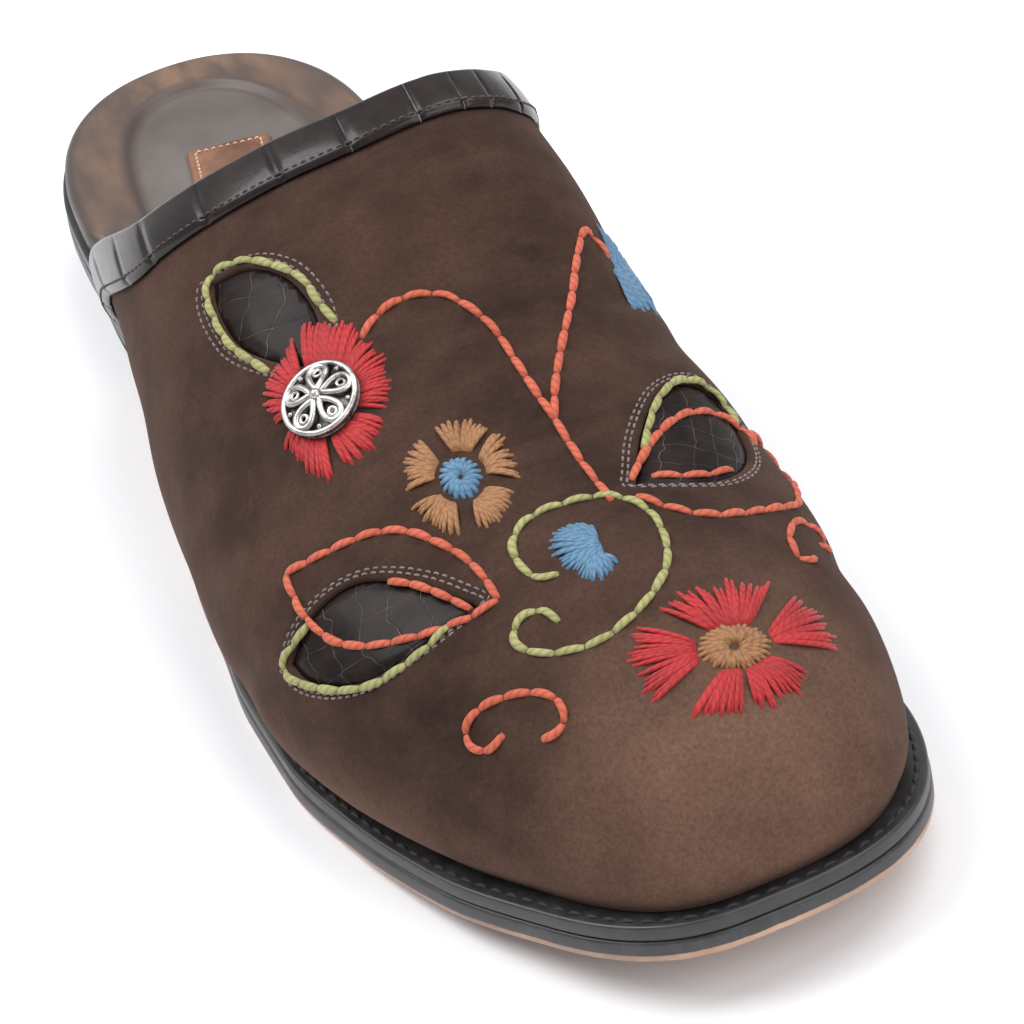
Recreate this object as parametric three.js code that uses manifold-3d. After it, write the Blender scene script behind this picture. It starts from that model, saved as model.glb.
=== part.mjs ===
// Backless embroidered slipper (mule), right shoe, in millimetres.
// +X runs from the heel to the toe, +Y to the medial side (the wearer's left) and +Z up.
import * as THREE from "three";
import { mergeVertices } from "three/addons/utils/BufferGeometryUtils.js";
import Module from "manifold-3d";

const wasm = await Module();
wasm.setup();

// Driving sizes
const LENGTH = 260;              // outsole, from the back of the heel to the tip of the toe
const BALL_WIDTH = 83;           // outsole, at its widest station
const HEEL_WIDTH = 57;           // outsole, across the heel seat
const INSTEP_HEIGHT = 63;        // ridge of the upper over the midsole, at the collar
const HEEL_HEIGHT = 12;          // underside of the outsole over the floor, at the heel
const TOE_SPRING = 9.5;          // underside of the outsole over the floor, at the tip
const OUTSOLE_THICKNESS = 3.6;
const EDGE_ROUND = 0.6;          // rounding of the sole layers' edges
const MIDSOLE_THICKNESS = 2.6;
const MIDSOLE_INSET = 0.5;       // the midsole's edge stands back from the outsole's
const HEEL_LENGTH = 62;          // heel block, along the outsole
const HEEL_INSET = 0.6;          // the heel's seat stands back from the outsole's edge
const HEEL_TAPER = 1.6;          // the heel's foot stands back from its seat
const TOP_PIECE_THICKNESS = 3;
const FEATHER_INSET = 1.9;       // the upper's foot stands back from the outsole's edge
const UPPER_WALL = 2;
const BULGE_MEDIAL = 5.8;        // how far the medial flank swells out over its foot
const BULGE_LATERAL = 10.7;
const TOE_FAN = 51;              // the ridge stops this far behind the tip, and the toe fans out
const TOE_SOFTNESS = 15;
const BINDING_WIDTH = 8.2;       // outer leg of the folded band
const BINDING_INNER_WIDTH = 7.5;
const BINDING_LEATHER = 0.9;
const FOOTBED_THICKNESS = 4.4;
const FOOTBED_INSET = 1.1;       // its edge behind the collar stands back from the outsole's edge
const FOOTBED_ROUND = 2.4;       // rounding of its wrapped edge
const FOOTBED_RIM = 9.5;         // width of its raised rim
const FOOTBED_SLOPE = 1.6;       // width of the step from the rim down to the centre
const FOOTBED_RECESS = 1.1;      // depth of that step
const FOOTBED_RAMP = 10;         // length over which its edge draws in at the collar
const FOOTBED_LAG = 8;           // from the band's inner leg to where its edge meets the upper
const PATCH_SIZE = 14.7;
const PATCH_THICKNESS = 0.9;
const PATCH_CENTRE = 42;         // from the back of the heel
const PATCH_TURN = -0.2;         // radians
const INLAY_DEPTH = 0.5;         // the leaf's face lies under the suede's face
const INLAY_THICKNESS = 1.1;
const BUTTON_DIAMETER = 13;
const BUTTON_HEIGHT = 2.4;
const BUTTON_RIM = 0.8;
const BUTTON_HOLE = 2.5;
const BUTTON_PETALS = 5;
const BUTTON_DOME_STEPS = 6;
const GAP = 0.3;                 // clearance between pieces that touch
const CURVED_GAP = 0.45;         // clearance where both faces curve

const COLOURS = {
  suede: 0x4e3c32,
  embossed: 0x2d2321,
  soleBlack: 0x1d1b1b,
  insole: 0x6e625c,
  patch: 0x966450,
  rubber: 0x141414,
  silver: 0xc9c7c2,
};

// Outline of the outsole: half widths as shares of half the heel's width at the heel, and of half the
// ball's width from the end of BALL_BLEND on
const OUTLINE = [
  { station: 0.00, medial: 0.99, lateral: 0.99 },
  { station: 0.08, medial: 0.99, lateral: 1.00 },
  { station: 0.20, medial: 1.00, lateral: 1.07 },
  { station: 0.38, medial: 0.865, lateral: 0.975 },
  { station: 0.55, medial: 0.82, lateral: 1.00 },
  { station: 0.63, medial: 0.89, lateral: 1.045 },
  { station: 0.70, medial: 0.945, lateral: 1.04 },
  { station: 0.78, medial: 0.97, lateral: 0.95 },
  { station: 0.86, medial: 0.96, lateral: 0.80 },
  { station: 0.93, medial: 0.91, lateral: 0.66 },
  { station: 1.00, medial: 0.85, lateral: 0.60 },
];
const BALL_BLEND = { from: 0.20, to: 0.55 };
const HEEL_CAP = { until: 0.14, power: 2.2 };
const TOE_CAP = { from: 0.84, medialPower: 3.1, lateralPower: 2.3 };

// Side view of the sole: where the arch falls to the tread, and where the toe starts to rise
const ARCH = { from: 0.22, to: 0.62 };
const SPRING_FROM = 0.70;

// Ridge of the upper: its height as a share of the instep's, its shift to the medial side as a share of
// the ball's width
const RIDGE = [
  { station: 0.20, height: 1.000, shift: 0.180 },
  { station: 0.40, height: 1.000, shift: 0.180 },
  { station: 0.51, height: 0.995, shift: 0.165 },
  { station: 0.64, height: 0.805, shift: 0.085 },
  { station: 0.76, height: 0.655, shift: 0.055 },
  { station: 0.88, height: 0.575, shift: 0.035 },
  { station: 1.00, height: 0.500, shift: 0.020 },
];

// Collar: where it crosses each rise from foot (0) to ridge (1), as a share of the length
const COLLAR = [
  { station: 0.00, medial: 0.279, lateral: 0.239 },
  { station: 0.25, medial: 0.337, lateral: 0.308 },
  { station: 0.50, medial: 0.424, lateral: 0.404 },
  { station: 0.75, medial: 0.467, lateral: 0.457 },
  { station: 0.90, medial: 0.475, lateral: 0.474 },
  { station: 1.00, medial: 0.476, lateral: 0.476 },
];

// How a cross-section leaves its foot: exponents of its way inwards and upwards, which turn into the
// toe's between two stations
const SECTION = {
  medial: { inward: 0.99, upward: 0.85 },
  lateral: { inward: 1.16, upward: 1.2 },
  toe: { inward: 1, upward: 1 },
  toeFrom: 0.60,
  toeTo: 0.98,
};
const BULGE = { growFrom: 0.05, growTo: 0.30, fadeFrom: 0.75, fadeTo: 1.0 };

// Leaf windows: each edge runs from the leaf's tail to its tip, a station along the foot and a rise
const LEAVES = [
  {
    name: "leaf_inlay_lateral_rear",
    side: -1,
    edges: [
      [[0.501, 0.583], [0.517, 0.643], [0.540, 0.690], [0.562, 0.716], [0.586, 0.730], [0.612, 0.714]],
      [[0.501, 0.583], [0.512, 0.573], [0.532, 0.573], [0.557, 0.590], [0.584, 0.640], [0.612, 0.714]],
    ],
  },
  {
    name: "leaf_inlay_lateral_front",
    side: -1,
    edges: [
      [[0.745, 0.398], [0.743, 0.490], [0.750, 0.582], [0.768, 0.645], [0.806, 0.695], [0.856, 0.712]],
      [[0.745, 0.398], [0.764, 0.396], [0.793, 0.436], [0.817, 0.500], [0.838, 0.605], [0.856, 0.712]],
    ],
  },
  {
    name: "leaf_inlay_medial_front",
    side: 1,
    edges: [
      [[0.706, 0.505], [0.701, 0.564], [0.713, 0.675], [0.735, 0.759], [0.773, 0.833], [0.826, 0.880]],
      [[0.706, 0.505], [0.732, 0.502], [0.762, 0.538], [0.792, 0.612], [0.816, 0.720], [0.826, 0.880]],
    ],
  },
];
const LEAF_RINGS = [1, 0.72, 0.4];
const LEAF_STEPS = 12;
const LEAF_MITRE = 0.4;          // least cosine by which a sharp corner is drawn in further
const BUTTON = { side: -1, station: 0.635, rise: 0.705 };

// Facets
const PLATE_STEP = 6.5;          // about how far apart the sole's stations are
const UPPER_STATIONS = 34;
const UPPER_ROWS = 15;
const FINE = 400;

const BED_HEIGHT = OUTSOLE_THICKNESS + MIDSOLE_THICKNESS + 2 * GAP;

function smooth(value) {
  const u = Math.min(1, Math.max(0, value));
  return u * u * (3 - 2 * u);
}

function mix(a, b, share) {
  return a + (b - a) * share;
}

// Shape-preserving cubic through a column of a table
function tableCurve(rows, column) {
  const xs = rows.map((row) => row.station);
  const ys = rows.map((row) => row[column]);
  const slopes = xs.slice(1).map((x, i) => (ys[i + 1] - ys[i]) / (x - xs[i]));
  const tangents = ys.map((y, i) => {
    if (i === 0) return slopes[0];
    if (i === ys.length - 1) return slopes[i - 1];
    if (slopes[i - 1] * slopes[i] <= 0) return 0;
    return (2 * slopes[i - 1] * slopes[i]) / (slopes[i - 1] + slopes[i]);
  });
  return (x) => {
    let i = 0;
    while (i < xs.length - 2 && x > xs[i + 1]) i += 1;
    const h = xs[i + 1] - xs[i];
    const u = Math.min(1, Math.max(0, (x - xs[i]) / h));
    const start = ys[i] * (1 + 2 * u) + tangents[i] * h * u;
    const end = ys[i + 1] * (3 - 2 * u) + tangents[i + 1] * h * (u - 1);
    return start * (1 - u) ** 2 + end * u * u;
  };
}

const halfShare = {
  medial: tableCurve(OUTLINE, "medial"),
  lateral: tableCurve(OUTLINE, "lateral"),
};
const collarShare = {
  medial: tableCurve(COLLAR, "medial"),
  lateral: tableCurve(COLLAR, "lateral"),
};
const ridgeShare = tableCurve(RIDGE, "height");
const ridgeShift = tableCurve(RIDGE, "shift");

function sideName(side) {
  return side > 0 ? "medial" : "lateral";
}

// How full the outline is at a station: 0 at the heel's back and the toe's tip, 1 between the caps
function capFactor(station, side) {
  if (station < HEEL_CAP.until) {
    const u = 1 - Math.max(0, station) / HEEL_CAP.until;
    return (1 - u ** HEEL_CAP.power) ** (1 / HEEL_CAP.power);
  }
  if (station <= TOE_CAP.from) return 1;
  const power = side > 0 ? TOE_CAP.medialPower : TOE_CAP.lateralPower;
  const u = Math.min(1, (station - TOE_CAP.from) / (1 - TOE_CAP.from));
  return Math.max(0, 1 - u ** power) ** (1 / power);
}

// A point of the outline, set back by inset, in plan
function outlinePoint(station, side, inset) {
  const blend = smooth((station - BALL_BLEND.from) / (BALL_BLEND.to - BALL_BLEND.from));
  const half = halfShare[sideName(side)](station) * mix(HEEL_WIDTH, BALL_WIDTH, blend) / 2;
  return [
    inset + station * (LENGTH - 2 * inset),
    side * (half - inset) * capFactor(station, side),
  ];
}

// Underside of the outsole
function underside(x) {
  const station = x / LENGTH;
  const rise = Math.min(1, Math.max(0, (station - SPRING_FROM) / (1 - SPRING_FROM)));
  const arch = smooth((ARCH.to - station) / (ARCH.to - ARCH.from));
  return TOE_SPRING * rise * rise + HEEL_HEIGHT * arch;
}

// Where the upper and the footbed stand on the midsole
function bedZ(x) {
  return underside(x) + BED_HEIGHT;
}

// The upper: station runs along its foot, rise from the foot (0) to the ridge (1), and offset out of
// its face
function upperPoint(station, side, rise, offset) {
  const [footX, footY] = outlinePoint(station, side, FEATHER_INSET - offset);
  const fan = (footX - (LENGTH - TOE_FAN)) / TOE_SOFTNESS;
  const ridgeX = footX - TOE_SOFTNESS * Math.log1p(Math.exp(fan));
  const ridgeY = ridgeShift(ridgeX / LENGTH) * BALL_WIDTH;
  const angle = rise * Math.PI / 2;
  const toe = smooth((station - SECTION.toeFrom) / (SECTION.toeTo - SECTION.toeFrom));
  const section = SECTION[sideName(side)];
  const inward = mix(section.inward, SECTION.toe.inward, toe);
  const upward = mix(section.upward, SECTION.toe.upward, toe);
  const across = 1 - Math.max(0, Math.cos(angle)) ** inward;
  const up = Math.sin(angle) ** upward;
  const grow = smooth((station - BULGE.growFrom) / (BULGE.growTo - BULGE.growFrom));
  const fade = smooth((BULGE.fadeTo - station) / (BULGE.fadeTo - BULGE.fadeFrom));
  const bulge = (side > 0 ? BULGE_MEDIAL : BULGE_LATERAL) * Math.sin(2 * angle) * grow * fade;
  const x = mix(footX, ridgeX, across);
  const y = mix(footY, ridgeY, across) + side * bulge;
  const height = ridgeShare(x / LENGTH) * INSTEP_HEIGHT + offset;
  return new THREE.Vector3(x, y, bedZ(x) + height * up);
}

function collarStation(side, rise) {
  const x = collarShare[sideName(side)](rise) * LENGTH;
  return (x - FEATHER_INSET) / (LENGTH - 2 * FEATHER_INSET);
}

// Stations from one station to another, evenly apart along the outline
function spreadStations(from, to, count, side) {
  const fine = Array.from({ length: FINE + 1 }, (_, i) => {
    const turn = (1 - Math.cos(Math.PI * i / FINE)) / 2;
    return mix(from, to, turn);
  });
  const lengths = [0];
  fine.slice(1).forEach((station, i) => {
    const [x0, y0] = outlinePoint(fine[i], side, 0);
    const [x1, y1] = outlinePoint(station, side, 0);
    lengths.push(lengths[i] + Math.hypot(x1 - x0, y1 - y0));
  });
  return Array.from({ length: count }, (_, k) => {
    if (k === count - 1) return to;
    const goal = lengths[FINE] * k / (count - 1);
    const i = Math.max(0, lengths.findIndex((length) => length > goal) - 1);
    return mix(fine[i], fine[i + 1], (goal - lengths[i]) / (lengths[i + 1] - lengths[i]));
  });
}

// A closed mesh from points and triangles: equal points are joined and empty triangles dropped
function closedGeometry(points, triangles) {
  const keys = new Map();
  const kept = [];
  const index = points.map((point) => {
    const key = [point.x, point.y, point.z].map((value) => Math.round(value * 500)).join(",");
    if (!keys.has(key)) {
      keys.set(key, kept.length);
      kept.push(point);
    }
    return keys.get(key);
  });
  const faces = triangles
    .map((triangle) => triangle.map((corner) => index[corner]))
    .filter(([a, b, c]) => a !== b && b !== c && c !== a);
  const geometry = new THREE.BufferGeometry();
  const positions = kept.flatMap((point) => [point.x, point.y, point.z]);
  geometry.setAttribute("position", new THREE.Float32BufferAttribute(positions, 3));
  geometry.setIndex(faces.flat());
  return geometry;
}

// A tube through rings of as many points each, closed at both ends by fans
function loft(rings, capStart = false, capEnd = false) {
  const count = rings[0].length;
  const points = rings.flat();
  const triangles = [];
  for (let i = 0; i < rings.length - 1; i += 1) {
    for (let j = 0; j < count; j += 1) {
      const a = i * count + j;
      const b = i * count + (j + 1) % count;
      triangles.push([a, a + count, b], [b, a + count, b + count]);
    }
  }
  function addCap(first, turned) {
    const ring = points.slice(first, first + count);
    const outline = ring.map((point) => new THREE.Vector2(point.x + point.y, point.z));
    const flat = THREE.ShapeUtils.isClockWise(outline);
    THREE.ShapeUtils.triangulateShape(flat ? outline.slice().reverse() : outline, []).forEach((face) => {
      const corners = face.map((corner) => first + (flat ? count - 1 - corner : corner));
      const same = flat !== turned;
      triangles.push(same ? corners : corners.slice().reverse());
    });
  }
  if (capStart) addCap(0, capStart === "turned");
  if (capEnd) addCap((rings.length - 1) * count, capEnd === "turned");
  return closedGeometry(points, triangles);
}

function toManifold(geometry) {
  const bare = geometry.clone();
  bare.deleteAttribute("normal");
  bare.deleteAttribute("uv");
  const merged = mergeVertices(bare, 1e-4);
  return new wasm.Manifold(new wasm.Mesh({
    numProp: 3,
    vertProperties: new Float32Array(merged.attributes.position.array),
    triVerts: new Uint32Array(merged.index.array),
  }));
}

function toGeometry(solid) {
  const mesh = solid.getMesh();
  const geometry = new THREE.BufferGeometry();
  geometry.setAttribute("position", new THREE.BufferAttribute(mesh.vertProperties, 3));
  geometry.setIndex(new THREE.BufferAttribute(mesh.triVerts, 1));
  return geometry;
}

// A ring across a plate at one station: an edge profile, given from its bottom up as rows of inset and
// height, is walked up the medial side and down the lateral one
function plateRing(station, profile, zAt) {
  function place(side) {
    return profile(station, side).map(([inset, height]) => {
      const [x, y] = outlinePoint(station, side, inset);
      return new THREE.Vector3(x, y, zAt(x, height));
    });
  }
  return [...place(1), ...place(-1).reverse()];
}

function plate(profile, zAt, endStation = 1) {
  const count = Math.round(LENGTH * endStation * 1.25 / PLATE_STEP);
  const stations = spreadStations(0, endStation, count, 1);
  const rings = stations.map((station) => plateRing(station, profile, zAt));
  return loft(rings, false, endStation < 1 ? "plain" : false);
}

function roundedEdge(inset, thickness) {
  return () => [
    [inset + EDGE_ROUND, 0],
    [inset, EDGE_ROUND],
    [inset, thickness - EDGE_ROUND],
    [inset + EDGE_ROUND, thickness],
  ];
}

function outsole() {
  return plate(roundedEdge(0, OUTSOLE_THICKNESS), (x, height) => underside(x) + height);
}

function midsole() {
  const base = OUTSOLE_THICKNESS + GAP;
  return plate(roundedEdge(MIDSOLE_INSET, MIDSOLE_THICKNESS), (x, height) => underside(x) + base + height);
}

function heelTaper(height) {
  return HEEL_INSET + HEEL_TAPER * (1 - height / (HEEL_HEIGHT - GAP));
}

// The heel's layers: height runs over the floor, and the seat follows the outsole's underside
function heelLayer(from, to) {
  const profile = () => [[heelTaper(from), from], [heelTaper(to), to]];
  const top = HEEL_HEIGHT - GAP;
  const seat = (x, height) => (height < top ? height : underside(x) - GAP);
  return plate(profile, seat, HEEL_LENGTH / LENGTH);
}

function heelBlock() {
  return heelLayer(TOP_PIECE_THICKNESS + GAP, HEEL_HEIGHT - GAP);
}

function heelTopPiece() {
  return heelLayer(0, TOP_PIECE_THICKNESS);
}

// The footbed's edge: near the outsole's edge behind the collar, clear of the binding and the upper in it
function footbedInset(station, side) {
  const collar = collarShare[sideName(side)](0);
  const ramp = FOOTBED_RAMP / LENGTH;
  const bindingClear = FEATHER_INSET + UPPER_WALL + BINDING_LEATHER + 3 * GAP;
  const upperClear = FEATHER_INSET + UPPER_WALL + 2.5 * GAP;
  const entry = smooth((station - collar + 1.6 * ramp) / ramp);
  const past = smooth((station - collar - (BINDING_INNER_WIDTH + FOOTBED_LAG) / LENGTH) / ramp);
  return mix(mix(FOOTBED_INSET, bindingClear, entry), upperClear, past);
}

function footbedProfile(station, side) {
  const edge = footbedInset(station, side);
  const rim = FOOTBED_INSET + FOOTBED_RIM;
  const top = FOOTBED_THICKNESS;
  return [
    [edge + EDGE_ROUND, 0],
    [edge, EDGE_ROUND],
    [edge, top - FOOTBED_ROUND],
    [edge + FOOTBED_ROUND * 0.3, top - FOOTBED_ROUND * 0.3],
    [edge + FOOTBED_ROUND, top],
    [rim, top],
    [rim + FOOTBED_SLOPE, top - FOOTBED_RECESS],
  ];
}

function footbed() {
  return plate(footbedProfile, (x, height) => bedZ(x) + height);
}

function insolePatch() {
  const steps = 6;
  const half = PATCH_SIZE / 2;
  const base = FOOTBED_THICKNESS - FOOTBED_RECESS + GAP;
  const rings = Array.from({ length: steps + 1 }, (_, i) => {
    const along = mix(-half, half, i / steps);
    return [[half, 0], [half, PATCH_THICKNESS], [-half, PATCH_THICKNESS], [-half, 0]].map(([y, height]) => {
      const x = PATCH_CENTRE + along * Math.cos(PATCH_TURN) - y * Math.sin(PATCH_TURN);
      const across = along * Math.sin(PATCH_TURN) + y * Math.cos(PATCH_TURN);
      return new THREE.Vector3(x, across, bedZ(x) + base + height);
    });
  });
  return loft(rings, "turned", "plain");
}

// The upper's sheets: columns run from the lateral collar round the toe to the medial one, rows from the
// foot to the ridge, where the two sides meet
function upperShares() {
  const [lateral, medial] = [-1, 1].map((side) => {
    const stations = spreadStations(collarStation(side, 0), 1, UPPER_STATIONS, side);
    return stations.map((station) => (station - stations[0]) / (1 - stations[0]));
  });
  return lateral.map((share, i) => (share + medial[i]) / 2);
}

function upperSheet(offset) {
  const shares = upperShares();
  const sides = [-1, 1].map((side) => shares.map((share) => {
    return Array.from({ length: UPPER_ROWS }, (_, row) => {
      const rise = row / (UPPER_ROWS - 1);
      return upperPoint(mix(collarStation(side, rise), 1, share), side, rise, offset);
    });
  }));
  return [...sides[0], ...sides[1].reverse().slice(1)];
}

function upperShell() {
  const sheets = [upperSheet(0), upperSheet(-UPPER_WALL)];
  const columns = sheets[0].length;
  const points = sheets.flat(2);
  const at = (sheet, column, row) => (sheet * columns + column) * UPPER_ROWS + row;
  const triangles = [];
  function quad(a, b, c, d) {
    triangles.push([a, b, c], [a, c, d]);
  }
  for (let column = 0; column < columns - 1; column += 1) {
    for (let row = 0; row < UPPER_ROWS - 1; row += 1) {
      quad(at(0, column, row), at(0, column + 1, row), at(0, column + 1, row + 1), at(0, column, row + 1));
      quad(at(1, column, row), at(1, column, row + 1), at(1, column + 1, row + 1), at(1, column + 1, row));
    }
    quad(at(0, column, 0), at(1, column, 0), at(1, column + 1, 0), at(0, column + 1, 0));
  }
  for (let row = 0; row < UPPER_ROWS - 1; row += 1) {
    const last = columns - 1;
    quad(at(0, 0, row), at(0, 0, row + 1), at(1, 0, row + 1), at(1, 0, row));
    quad(at(0, last, row), at(1, last, row), at(1, last, row + 1), at(0, last, row + 1));
  }
  return closedGeometry(points, triangles);
}

// A leaf's outline, drawn in by a distance, in millimetres along the foot and up the section
function leafOutline(leaf, drawnIn) {
  const span = new THREE.Vector2(LENGTH, INSTEP_HEIGHT * 1.2);
  const edges = leaf.edges.map((edge) => {
    const knots = edge.map(([station, rise]) => new THREE.Vector2(station, rise).multiply(span));
    return new THREE.SplineCurve(knots).getPoints(LEAF_STEPS);
  });
  const outline = [...edges[0], ...edges[1].slice(1, -1).reverse()];
  const middle = outline.reduce((sum, point) => sum.add(point), new THREE.Vector2());
  middle.divideScalar(outline.length);
  const drawn = outline.map((point, i) => {
    const before = outline[(i + outline.length - 1) % outline.length];
    const after = outline[(i + 1) % outline.length];
    const chord = after.clone().sub(before).normalize();
    const inward = new THREE.Vector2(-chord.y, chord.x);
    if (inward.dot(middle.clone().sub(point)) < 0) inward.negate();
    const mitre = Math.max(LEAF_MITRE, Math.abs(chord.dot(point.clone().sub(before).normalize())));
    return point.clone().addScaledVector(inward, drawnIn / mitre);
  });
  return { outline: drawn, middle, span };
}

// The leaf as a solid between two offsets of the upper's face
function leafSolid(leaf, drawnIn, outer, inner) {
  const { outline, middle, span } = leafOutline(leaf, drawnIn);
  function ring(scale, offset) {
    return outline.map((point) => {
      const placed = middle.clone().lerp(point, scale).divide(span);
      return upperPoint(placed.x, leaf.side, placed.y, offset);
    });
  }
  const rings = [
    ring(0, outer),
    ...LEAF_RINGS.slice().reverse().map((scale) => ring(scale, outer)),
    ...LEAF_RINGS.map((scale) => ring(scale, inner)),
    ring(0, inner),
  ];
  return loft(rings);
}

function facingOut(geometry) {
  const solid = toManifold(geometry);
  if (solid.volume() > 0) return solid;
  const turned = geometry.clone();
  const index = Array.from(turned.index.array);
  const faces = [];
  for (let i = 0; i < index.length; i += 3) faces.push(index[i], index[i + 2], index[i + 1]);
  turned.setIndex(faces);
  return toManifold(turned);
}

function upperWithWindows() {
  const reach = 3;
  return LEAVES.reduce((upper, leaf) => {
    const window = facingOut(leafSolid(leaf, 0, reach, -UPPER_WALL - reach));
    return upper.subtract(window);
  }, facingOut(upperShell()));
}

function leafInlay(leaf) {
  return facingOut(leafSolid(leaf, CURVED_GAP, -INLAY_DEPTH, -INLAY_DEPTH - INLAY_THICKNESS));
}

// The collar's band is folded over the upper's edge: rows of distance from the edge and offset
function bindingSection() {
  const outer = BINDING_LEATHER + CURVED_GAP;
  const inner = -UPPER_WALL - CURVED_GAP - BINDING_LEATHER;
  const middle = -UPPER_WALL / 2;
  return [
    [BINDING_WIDTH, CURVED_GAP],
    [BINDING_WIDTH, outer],
    [BINDING_WIDTH * 0.5, outer],
    [0, outer],
    [-BINDING_LEATHER, middle + (outer - middle) * 0.7],
    [-GAP - BINDING_LEATHER, middle],
    [-BINDING_LEATHER, middle + (inner - middle) * 0.7],
    [0, inner],
    [BINDING_INNER_WIDTH, inner],
    [BINDING_INNER_WIDTH, -UPPER_WALL - CURVED_GAP],
    [-GAP, -UPPER_WALL - CURVED_GAP],
    [-GAP, CURVED_GAP],
    [BINDING_WIDTH * 0.5, CURVED_GAP],
  ];
}

function bindingRing(side, rise) {
  const station = collarStation(side, rise);
  const step = 0.01;
  const edge = upperPoint(station, side, rise, 0);
  const along = upperPoint(station + step, side, rise, 0).sub(edge);
  const higher = Math.min(1, rise + step);
  const lower = Math.max(0, rise - step);
  const collar = upperPoint(collarStation(side, higher), side, higher, 0)
    .sub(upperPoint(collarStation(side, lower), side, lower, 0));
  const square = along.clone().cross(collar.normalize()).length();
  return bindingSection().map(([distance, offset]) => {
    return upperPoint(station + step * distance / square, side, rise, offset);
  });
}

function collarBinding() {
  const rises = Array.from({ length: UPPER_ROWS }, (_, row) => row / (UPPER_ROWS - 1));
  const lateral = rises.map((rise) => bindingRing(-1, rise));
  const medial = rises.slice(0, -1).reverse().map((rise) => bindingRing(1, rise));
  return loft([...lateral, ...medial], "turned", "plain");
}

function filigreeButton() {
  const radius = BUTTON_DIAMETER / 2;
  const dome = Array.from({ length: BUTTON_DOME_STEPS + 1 }, (_, i) => {
    const angle = i / BUTTON_DOME_STEPS * Math.PI / 2;
    return new THREE.Vector2(radius * Math.cos(angle), BUTTON_RIM + (BUTTON_HEIGHT - BUTTON_RIM) * Math.sin(angle));
  });
  dome[BUTTON_DOME_STEPS].x = 0;
  const disc = new THREE.LatheGeometry([new THREE.Vector2(0, 0), new THREE.Vector2(radius, 0), ...dome], 30);
  disc.rotateX(Math.PI / 2);
  let solid = facingOut(disc);
  for (let petal = 0; petal < BUTTON_PETALS; petal += 1) {
    const angle = petal / BUTTON_PETALS * 2 * Math.PI;
    const hole = new THREE.CylinderGeometry(BUTTON_HOLE / 2, BUTTON_HOLE / 2, BUTTON_HEIGHT * 3, 10);
    hole.rotateX(Math.PI / 2);
    hole.translate(radius * 0.58 * Math.cos(angle), radius * 0.58 * Math.sin(angle), 0);
    solid = solid.subtract(facingOut(hole));
  }
  return toGeometry(solid);
}

function placeOnUpper(mesh, spot, lift) {
  const step = 0.01;
  const centre = upperPoint(spot.station, spot.side, spot.rise, 0);
  const along = upperPoint(spot.station + step, spot.side, spot.rise, 0).sub(centre).normalize();
  const up = upperPoint(spot.station, spot.side, spot.rise + step, 0).sub(centre).normalize();
  const normal = along.clone().cross(up).normalize().multiplyScalar(-spot.side);
  mesh.quaternion.setFromUnitVectors(new THREE.Vector3(0, 0, 1), normal);
  mesh.position.copy(centre).addScaledVector(normal, lift);
}

function material(colour, roughness, metalness = 0) {
  return new THREE.MeshStandardMaterial({ color: colour, roughness, metalness });
}

const shoe = new THREE.Group();

function addPiece(name, geometry, finish) {
  const mesh = new THREE.Mesh(geometry, finish);
  mesh.name = name;
  shoe.add(mesh);
  return mesh;
}

const suede = material(COLOURS.suede, 0.95);
const embossed = material(COLOURS.embossed, 0.35);
const soleBlack = material(COLOURS.soleBlack, 0.5);

addPiece("heel_top_piece", toGeometry(facingOut(heelTopPiece())), material(COLOURS.rubber, 0.8));
addPiece("heel_block", toGeometry(facingOut(heelBlock())), soleBlack);
addPiece("outsole", toGeometry(facingOut(outsole())), soleBlack);
addPiece("midsole", toGeometry(facingOut(midsole())), soleBlack);
addPiece("footbed", toGeometry(facingOut(footbed())), material(COLOURS.insole, 0.45));
addPiece("insole_patch", toGeometry(facingOut(insolePatch())), material(COLOURS.patch, 0.6));
addPiece("upper", toGeometry(upperWithWindows()), suede);
addPiece("collar_binding", toGeometry(facingOut(collarBinding())), embossed);
LEAVES.forEach((leaf) => {
  addPiece(leaf.name, toGeometry(leafInlay(leaf)), embossed);
});
const button = addPiece("filigree_button", filigreeButton(), material(COLOURS.silver, 0.3, 1));
placeOnUpper(button, BUTTON, GAP * 2);

// The origin is the middle of the box's underside
const box = new THREE.Box3().setFromObject(shoe);
shoe.position.set(-(box.min.x + box.max.x) / 2, -(box.min.y + box.max.y) / 2, -box.min.z);
shoe.updateMatrixWorld(true);

export default shoe;
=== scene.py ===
# Backless embroidered slipper, right shoe: the finish of every piece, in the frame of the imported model.
import math

import bmesh
import bpy
import numpy as np
from mathutils import Matrix, Vector
from mathutils.bvhtree import BVHTree
from mathutils.geometry import delaunay_2d_cdt


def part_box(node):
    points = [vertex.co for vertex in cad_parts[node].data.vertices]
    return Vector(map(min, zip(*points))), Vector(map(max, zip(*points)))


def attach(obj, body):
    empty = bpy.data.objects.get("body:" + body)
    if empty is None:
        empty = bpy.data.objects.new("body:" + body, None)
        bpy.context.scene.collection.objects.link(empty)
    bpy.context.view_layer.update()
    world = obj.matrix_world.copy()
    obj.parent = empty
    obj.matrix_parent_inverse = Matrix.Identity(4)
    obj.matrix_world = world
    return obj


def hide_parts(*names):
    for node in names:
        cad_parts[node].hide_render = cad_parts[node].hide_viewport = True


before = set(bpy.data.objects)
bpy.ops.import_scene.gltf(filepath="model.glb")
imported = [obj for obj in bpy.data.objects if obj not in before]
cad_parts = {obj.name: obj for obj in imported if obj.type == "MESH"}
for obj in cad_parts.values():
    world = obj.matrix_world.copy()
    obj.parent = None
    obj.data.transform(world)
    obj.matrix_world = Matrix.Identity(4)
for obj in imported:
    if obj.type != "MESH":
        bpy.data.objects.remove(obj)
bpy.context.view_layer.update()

MM = 0.001

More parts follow.
